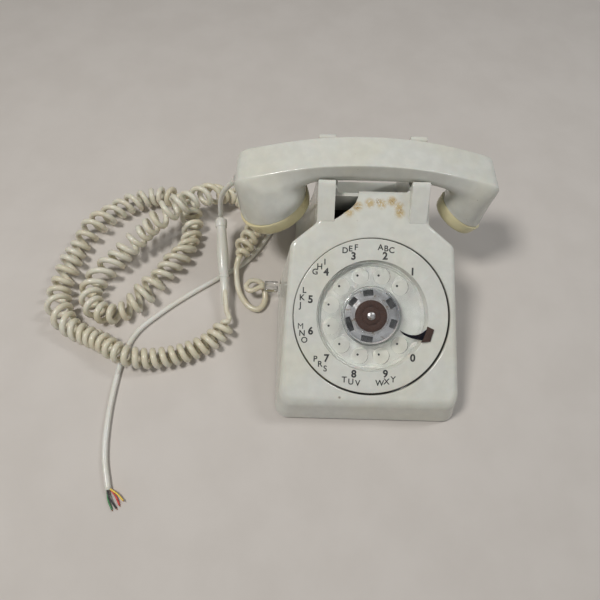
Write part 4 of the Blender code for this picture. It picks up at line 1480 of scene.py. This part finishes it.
# ---------------------------------------------------------------- cords
LEAD_UPPER = [(-119.3, 79.5, 92.0), (-124.0, 81.5, 85.0), (-129.6, 83.5, 75.0), (-134.0, 85.0, 63.5),
              (-136.6, 85.4, 51.5), (-137.6, 84.6, 42.0)]
SLEEVE_TOP, SLEEVE_LOW = Vector((-138.2, 82.0, 33.4)), Vector((-131.4, 22.0, 18.0))
LEAD_LOWER = [(-126.5, -10.5, 13.2), (-124.6, -15.4, 12.8), (-123.4, -18.4, 12.7)]
COIL_ROUTE = [(-122.8, -20.0, 12.6), (-128.0, -31.0, 10.9), (-140.0, -44.5, 10.4),
              (-157.0, -54.0, 10.4), (-176.0, -60.0, 10.4), (-195.0, -63.0, 11.5),
              (-212.0, -62.5, 15.6), (-226.0, -57.0, 16.8), (-240.0, -48.5, 14.5),
              (-255.0, -42.0, 11.0), (-272.0, -34.0, 10.4), (-287.0, -18.0, 10.4),
              (-294.0, 4.0, 10.4), (-292.0, 30.0, 10.4), (-288.0, 56.0, 10.4),
              (-278.0, 80.0, 10.4), (-262.0, 101.0, 10.4), (-242.0, 117.0, 10.4),
              (-218.0, 127.0, 10.4), (-195.0, 124.5, 10.4), (-180.5, 112.0, 10.4),
              (-174.0, 96.0, 10.4), (-172.0, 78.0, 10.4), (-176.0, 58.0, 10.4),
              (-188.0, 38.0, 10.4), (-200.0, 18.0, 10.4), (-214.0, -2.0, 10.4),
              (-232.0, -17.0, 10.4), (-252.0, -15.0, 10.4), (-263.0, 3.0, 10.4),
              (-256.0, 24.0, 11.5), (-241.0, 43.0, 15.0), (-222.0, 62.0, 24.0),
              (-202.0, 80.0, 32.5), (-178.0, 99.0, 36.0), (-158.0, 115.0, 29.0),
              (-143.0, 126.0, 18.0), (-126.0, 128.0, 12.0), (-112.0, 116.0, 10.8),
              (-106.0, 98.0, 13.0), (-107.0, 79.0, 16.4), (-113.0, 63.0, 16.8),
              (-119.0, 46.0, 15.6)]
END_LEAD = [(-119.6, 44.0, 15.2), (-121.0, 34.0, 9.0), (-117.0, 14.0, 5.0), (-107.0, -1.5, 3.8),
            (-96.0, -5.5, 4.0), (-90.0, 5.0, 5.0), (-93.5, 20.0, 9.5), (-103.5, 22.0, 12.6),
            (-109.0, 14.5, 14.6), (-105.0, 9.0, 15.4), (-99.0, 10.8, 15.4), (-95.2, 13.4, 15.1),
            (-90.6, 14.0, 15.0)]
LINE_CORD = [(-32.0, 111.4, 10.3), (-32.5, 118.0, 9.0), (-37.0, 126.0, 4.4), (-50.0, 131.5, 2.8),
             (-66.0, 126.0, 2.7), (-79.0, 109.0, 2.7), (-89.5, 88.0, 2.7), (-101.0, 66.0, 2.7),
             (-117.0, 46.0, 2.7), (-142.0, 28.0, 2.7), (-168.0, 9.0, 2.7), (-194.0, -13.0, 2.7),
             (-213.0, -34.0, 2.7), (-221.0, -58.0, 2.7), (-223.5, -88.0, 2.7),
             (-223.0, -120.0, 2.7), (-219.0, -150.0, 2.7), (-210.5, -176.0, 2.7)]


def outlet_turn() -> Matrix:
    """Turn from Z to the direction in which the lead leaves the handset."""
    way = Vector(LEAD_UPPER[1]) - Vector(LEAD_UPPER[0])
    return way.to_track_quat("Z", "Y").to_matrix().to_4x4()


def smooth_route(points: Sequence[Point], spacing: float) -> list[Vector]:
    """Points about a spacing apart on a smooth curve through a route's own points.

    Args:
        points: The route's own points.
        spacing: The distance between new points.

    Returns:
        The points along the curve.
    """
    knots = [Vector(p) for p in points]
    knots = [2 * knots[0] - knots[1]] + knots + [2 * knots[-1] - knots[-2]]
    route = []
    for before, start, end, after in zip(knots, knots[1:], knots[2:], knots[3:]):
        count = max(1, round((end - start).length / spacing))
        for i in range(count):
            t = i / count
            route.append(0.5 * (2 * start + (end - before) * t
                                + (2 * before - 5 * start + 4 * end - after) * t * t
                                + (3 * start - before - 3 * end + after) * t ** 3))
    return route + [knots[-2]]


def ease(value: float) -> float:
    """Smooth step from none to one."""
    t = min(1.0, max(0.0, value))
    return t * t * (3 - 2 * t)


@dataclass
class Cord:
    """A cord's mesh: rings carried along its path without twist, closed at both ends."""

    name: str
    path: list
    radius: Callable[[float], float]
    sides: int = 12

    def build(self) -> Mesh:
        """Make the tube, with a UV map of distance along it and share round it.

        Returns:
            The cord.
        """
        build = bmesh.new()
        chart = build.loops.layers.uv.new("UVMap")
        ways = []
        for i in range(len(self.path)):
            ahead, behind = self.path[min(i + 1, len(self.path) - 1)], self.path[max(i - 1, 0)]
            ways.append((ahead - behind).normalized())
        normal = ways[0].orthogonal().normalized()
        gone, rings, along = 0.0, [], []
        for i, (place, way) in enumerate(zip(self.path, ways)):
            if i:
                normal = ways[i - 1].rotation_difference(way) @ normal
                normal = (normal - way * normal.dot(way)).normalized()
                gone += (place - self.path[i - 1]).length
            side = way.cross(normal)
            r = self.radius(gone)
            turns = [2 * math.pi * k / self.sides for k in range(self.sides)]
            rings.append([build.verts.new(place + (normal * math.cos(a) + side * math.sin(a)) * r)
                          for a in turns])
            along.append(gone)
        for i in range(len(rings) - 1):
            for k in range(self.sides):
                j = (k + 1) % self.sides
                face = build.faces.new((rings[i][k], rings[i][j], rings[i + 1][j], rings[i + 1][k]))
                face.smooth = True
                spots = ((i, k), (i, k + 1), (i + 1, k + 1), (i + 1, k))
                for loop, (a, b) in zip(face.loops, spots):
                    loop[chart].uv = (along[a] * MM * 20, b / self.sides)
        build.faces.new(list(reversed(rings[0])))
        build.faces.new(rings[-1])
        return Bench.meshed(self.name, build)

    def length(self) -> float:
        """Length along the path, in metres."""
        return sum((b - a).length for a, b in zip(self.path, self.path[1:])) * MM


@dataclass
class Cords:
    """The handset's curly cord with its in-line sleeve and plug, and the cut line cord."""

    lead: float = 2.5
    strand: float = 2.9
    coil: float = 7.25
    front_share: float = 0.16
    pitches: tuple = (8.7, 9.6)
    ramp: float = 13.0
    lean: float = 4.2

    @staticmethod
    def unrest(share: float, loose: float) -> float:
        """How far the coil is pulled out of shape at a share of its run, from none to one."""
        wave = 0.5 + 0.3 * math.sin(share * 53.0 + 2.0) + 0.2 * math.sin(share * 119.0)
        return loose * wave * ease((0.97 - share) / 0.05)

    def curl(self) -> tuple[list, int]:
        """The whole path below the sleeve: lead, helix and end lead, and where the front ends.

        Returns:
            The points in millimetres, and the index where the front stretch ends.
        """
        reach = (SLEEVE_LOW - SLEEVE_TOP).normalized()
        lower = smooth_route([SLEEVE_LOW - reach * 2.0, SLEEVE_LOW + reach * 3.0] + LEAD_LOWER, 2.0)
        axis = smooth_route(COIL_ROUTE, 0.55)
        tail = smooth_route(END_LEAD, 2.0)
        total = len(axis) - 1
        lengths = [0.0]
        for a, b in zip(axis, axis[1:]):
            lengths.append(lengths[-1] + (b - a).length)
        way = (axis[1] - axis[0]).normalized()
        normal = Vector((0, 0, 1)) - way * way.z
        normal.normalize()
        phase, points, cut = math.pi, [], 0
        for i in range(total + 1):
            ahead = (axis[min(i + 1, total)] - axis[max(i - 1, 0)]).normalized()
            normal = (normal - ahead * normal.dot(ahead)).normalized()
            side = ahead.cross(normal)
            share = i / total
            loose = ease((share - self.front_share) / 0.05)
            unrest = self.unrest(share, loose)
            pitch = self.pitches[0] + loose * (self.pitches[1] - self.pitches[0] + 5.0 * unrest
                                               + 1.3 * math.sin(share * 143.0 + 1.0))
            swell = min(ease(lengths[i] / self.ramp), ease((lengths[-1] - lengths[i]) / self.ramp))
            wide = self.coil * swell * (1 + loose * (0.36 * unrest + 0.06 * math.sin(share * 97.0)))
            if i:
                phase += 2 * math.pi * (lengths[i] - lengths[i - 1]) / pitch
            lean = swell * loose * self.lean * math.sin(share * 37.0 + 0.8)
            middle = axis[i] + Vector((0, 0, max(0.0, wide - self.coil) * 1.02))
            points.append(middle + (normal * math.cos(phase) + side * math.sin(phase)) * wide
                          + ahead * lean * math.cos(phase - 1.2))
            if share <= self.front_share:
                cut = i
        whole = lower[:-1] + points + tail[1:]
        return whole, len(lower) - 1 + cut

    def sleeve(self) -> Mesh:
        """The in-line sleeve: a fat tapered moulding with a collar at its upper end.

        Returns:
            The sleeve.
        """
        length = (SLEEVE_LOW - SLEEVE_TOP).length
        profile = [(0, 0.0), (3.0, 0.0), (4.4, -0.4), (5.6, -1.2), (5.9, -2.2), (5.9, -8.2), (5.6, -9.2),
                   (4.9, -9.8), (4.8, -12.0), (5.0, -22.0), (5.7, -32.0), (5.7, -42.0), (5.1, -52.0),
                   (4.7, -length + 2.2), (5.0, -length + 1.8), (5.0, -length + 0.2), (4.5, -length),
                   (4.0, -length - 1.0), (3.6, -length - 12.0), (3.1, -length - 27.0),
                   (2.7, -length - 28.0), (0, -length - 28.0)]
        sleeve = Bench.spun("cord_sleeve", profile, 48)
        turn = (SLEEVE_LOW - SLEEVE_TOP).to_track_quat("-Z", "Y").to_matrix().to_4x4()
        Bench.placed(sleeve, Matrix.Translation(SLEEVE_TOP) @ turn)
        return dressed(Bench.smoothed(sleeve, 40), Look.LEAD, "handset", "inline_sleeve")

    def outlet(self) -> Mesh:
        """The tapered strain relief where the lead leaves the handset.

        Returns:
            The strain relief.
        """
        profile = [(0, 7.3), (2.7, 7.3), (3.1, 6.8), (3.3, 5.2), (3.0, 4.6), (3.4, 4.1), (3.6, 2.6),
                   (3.3, 2.1), (3.8, 1.6), (4.1, -3.0), (0, -3.0)]
        relief = Bench.spun("lead_strain_relief", profile, 40)
        way = (Vector(LEAD_UPPER[1]) - Vector(LEAD_UPPER[0])).normalized()
        Bench.placed(relief, Matrix.Translation(Vector(LEAD_UPPER[0]) - way * 7.3) @ outlet_turn())
        return dressed(Bench.smoothed(relief, 35), Look.LEAD, "handset", "cord_outlet")

    def plug(self) -> Mesh:
        """The small clear plug at the housing's side, with its latch.

        Returns:
            The plug.
        """
        low, high, centre = packed_box("modular_plug")
        size = high - low
        body = Bench.rounded(Bench.block("clear_plug", size - Vector((0, 0, 1.6)),
                                         centre + Vector((0, 0, 0.8))), 0.5, 2)
        latch = Bench.block("latch", (size.x * 0.8, 3.4, 0.9), (centre.x, centre.y, low.z + 0.5))
        Bench.carved(body, Bench.rounded(latch, 0.2, 2), operation="UNION")
        post = Bench.block("post", (2.0, 3.4, 2.0), (centre.x + size.x * 0.3, centre.y, low.z + 1.3))
        Bench.carved(body, post, operation="UNION")
        return dressed(Bench.smoothed(body), Look.CLEAR, "base", "modular_plug")

    def wires(self, tip: Vector, way: Vector) -> list[Mesh]:
        """The four insulated wires that stand out of the line cord's cut end.

        Args:
            tip: The cord's end.
            way: The direction in which it ends.

        Returns:
            The wires and their bare ends.
        """
        across = Vector((-way.y, way.x, 0))
        ends = {Look.RED: (0.9, 0.2, (11.0, -11.0)), Look.YELLOW: (0.9, 1.7, (14.0, -7.5)),
                Look.GREEN: (-0.9, 0.2, (5.5, -14.5)), Look.BLACK: (-0.9, 1.7, (9.0, -13.5))}
        made = []
        for look, (side, up, end) in ends.items():
            root = tip - way * 1.5 + across * side + Vector((0, 0, up - 0.9))
            target = tip + Vector((end[0], end[1], 0.2 if look is Look.YELLOW else -1.6))
            middle = root.lerp(target, 0.5) + across * side * 1.2 + Vector((0, 0, 0.4))
            path = smooth_route([root, middle, target], 0.8)
            wire = Cord(f"{look.value.name}_end", path, lambda gone: 0.68, 10).build()
            made.append(dressed(wire, look, "base", look.value.name))
            core = [target - (target - middle).normalized() * 1.0,
                    target + (target - middle).normalized() * 1.3]
            bare = Cord(f"{look.value.name}_core", core, lambda gone: 0.3, 8).build()
            made.append(dressed(bare, Look.COPPER, "base"))
        return made

    def build(self) -> None:
        relief, sleeve, plug = self.outlet(), self.sleeve(), self.plug()
        way = (SLEEVE_LOW - SLEEVE_TOP).normalized()
        upper = Cord("handset_lead", smooth_route(LEAD_UPPER + [SLEEVE_TOP - way * 3.0,
                                                                SLEEVE_TOP + way * 1.5], 1.6),
                     lambda gone: self.lead, 20)
        piece = dressed(upper.build(), Look.LEAD, "handset", "lead_upper")
        whole, cut = self.curl()
        lead_run = 46.0
        front = Cord("curly_cord_front", whole[:cut + 1],
                     lambda gone: self.lead + (self.strand - self.lead) * ease((gone - lead_run) / 12))
        piece = front.build()
        piece.data.materials.append(Look.CORD.material())
        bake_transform(piece)
        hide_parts("lead_lower", "coil_front")
        rest = Cord("curly_cord", whole[cut:], lambda gone: self.strand)
        total = rest.length() / MM
        rest.radius = lambda gone: self.strand - (self.strand - self.lead) * ease((gone - total + 46) / 12)
        piece = dressed(rest.build(), Look.CORD, "base", "coil_left", "coil_inner", "coil_back", "end_lead")
        line = Cord("line_lead", smooth_route(LINE_CORD, 3.0), lambda gone: self.lead, 20)
        piece = dressed(line.build(), Look.LEAD, "base", "line_cord")
        tip = Vector(LINE_CORD[-1])
        ends = self.wires(tip, (tip - Vector(LINE_CORD[-2])).normalized())


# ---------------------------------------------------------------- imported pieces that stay
PACKED_LOOKS = {
    Look.STEEL: ("base_plate", "dial_frame", "dial_shaft", "ringer_frame", "gong_screw_large",
                 "gong_screw_small", "clapper", "hook_lever", "hook_bracket", "housing_screw_front",
                 "housing_screw_rear"),
    Look.BLUED: ("return_spring",),
    Look.BRASS: ("main_gear", "pulse_contacts", "pinion", "governor", "gong_large", "gong_small"),
    Look.COPPER: ("ringer_coil",),
    Look.RUBBER: ("foot_front_left", "foot_front_right", "foot_rear_left", "foot_rear_right",
                  "line_grommet"),
    Look.GREY: ("volume_wheel", "switch_contacts", "network_block", "handset_jack"),
    Look.CLEAR: ("plunger_left", "plunger_right"),
}


def dress_packed() -> None:
    """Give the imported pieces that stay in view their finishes."""
    for look, nodes in PACKED_LOOKS.items():
        for node in nodes:
            piece = frame["nodes"][node]
            piece.data.materials.clear()
            piece.data.materials.append(look.material())


# ---------------------------------------------------------------- studio
@dataclass
class Studio:
    """A pale floor, soft lamps and the camera in front of and above the telephone."""

    eye: Point = (-54.4, -204.4, 420.8)
    lean: float = 27.0
    roll: float = 1.5
    lens: float = 27.72

    def floor(self) -> None:
        """A plain pale floor."""
        Bench.clear()
        bpy.ops.mesh.primitive_plane_add(size=6.0)
        floor = Bench.named("studio_floor")
        sheet = Sheet("studio_floor")
        tone = sheet.range(sheet.noise(60, 4), 0.3, 0.7)
        sheet.drive("Base Color", sheet.mix(tone, (0.60, 0.555, 0.51), (0.63, 0.585, 0.54)))
        sheet.set(roughness=0.85)
        floor.data.materials.append(sheet.material)

    def lamp(self, name: str, place: Point, size: Point, power: float, colour: Point) -> None:
        """A soft rectangular lamp that faces the dial.

        Args:
            name: The lamp's name.
            place: Its place in metres.
            size: Its width and height in metres.
            power: Its power in watts.
            colour: Its colour.
        """
        data = bpy.data.lights.new(name, "AREA")
        data.shape = "RECTANGLE"
        data.size, data.size_y = size
        data.energy = power
        data.color = colour
        lamp = bpy.data.objects.new(name, data)
        bpy.context.scene.collection.objects.link(lamp)
        lamp.location = place
        aim = DIAL.translation * MM - Vector(place)
        lamp.rotation_euler = aim.to_track_quat("-Z", "Y").to_euler()

    def build(self) -> None:
        """Set up the studio."""
        self.floor()
        self.lamp("key", (-0.60, -0.12, 1.25), (0.26, 0.26), 9.3, (1.0, 0.985, 0.96))
        self.lamp("strip", (0.65, 0.30, 1.02), (0.09, 0.32), 3.0, (0.95, 0.975, 1.0))
        self.lamp("fill", (0.5, -1.2, 1.2), (1.4, 1.0), 2.4, (0.97, 0.985, 1.0))
        world = bpy.data.worlds.new("studio")
        bpy.context.scene.world = world
        world.use_nodes = True
        back = world.node_tree.nodes["Background"]
        back.inputs["Color"].default_value = (0.96, 0.98, 1.0, 1.0)
        back.inputs["Strength"].default_value = 0.165
        data = bpy.data.cameras.new("camera")
        data.lens = self.lens
        data.sensor_width = 36.0
        data.clip_start = 0.02
        data.shift_x, data.shift_y = -0.0007, -0.0031
        camera = bpy.data.objects.new("camera", data)
        bpy.context.scene.collection.objects.link(camera)
        camera.matrix_world = (Matrix.Translation(Vector(self.eye) * MM)
                               @ Matrix.Rotation(math.radians(self.lean), 4, "X")
                               @ Matrix.Rotation(math.radians(self.roll), 4, "Z"))
        bpy.context.scene.camera = camera
        bpy.context.scene.view_settings.view_transform = "Standard"


def main() -> None:
    """Build the telephone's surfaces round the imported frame."""
    logging.basicConfig(level=logging.INFO, format="%(name)s: %(message)s")
    Studio().build()
    Cords().build()
    Housing().build()
    Dial().build()
    Handset().build()
    dress_packed()


if __name__ == "__main__":
    main()
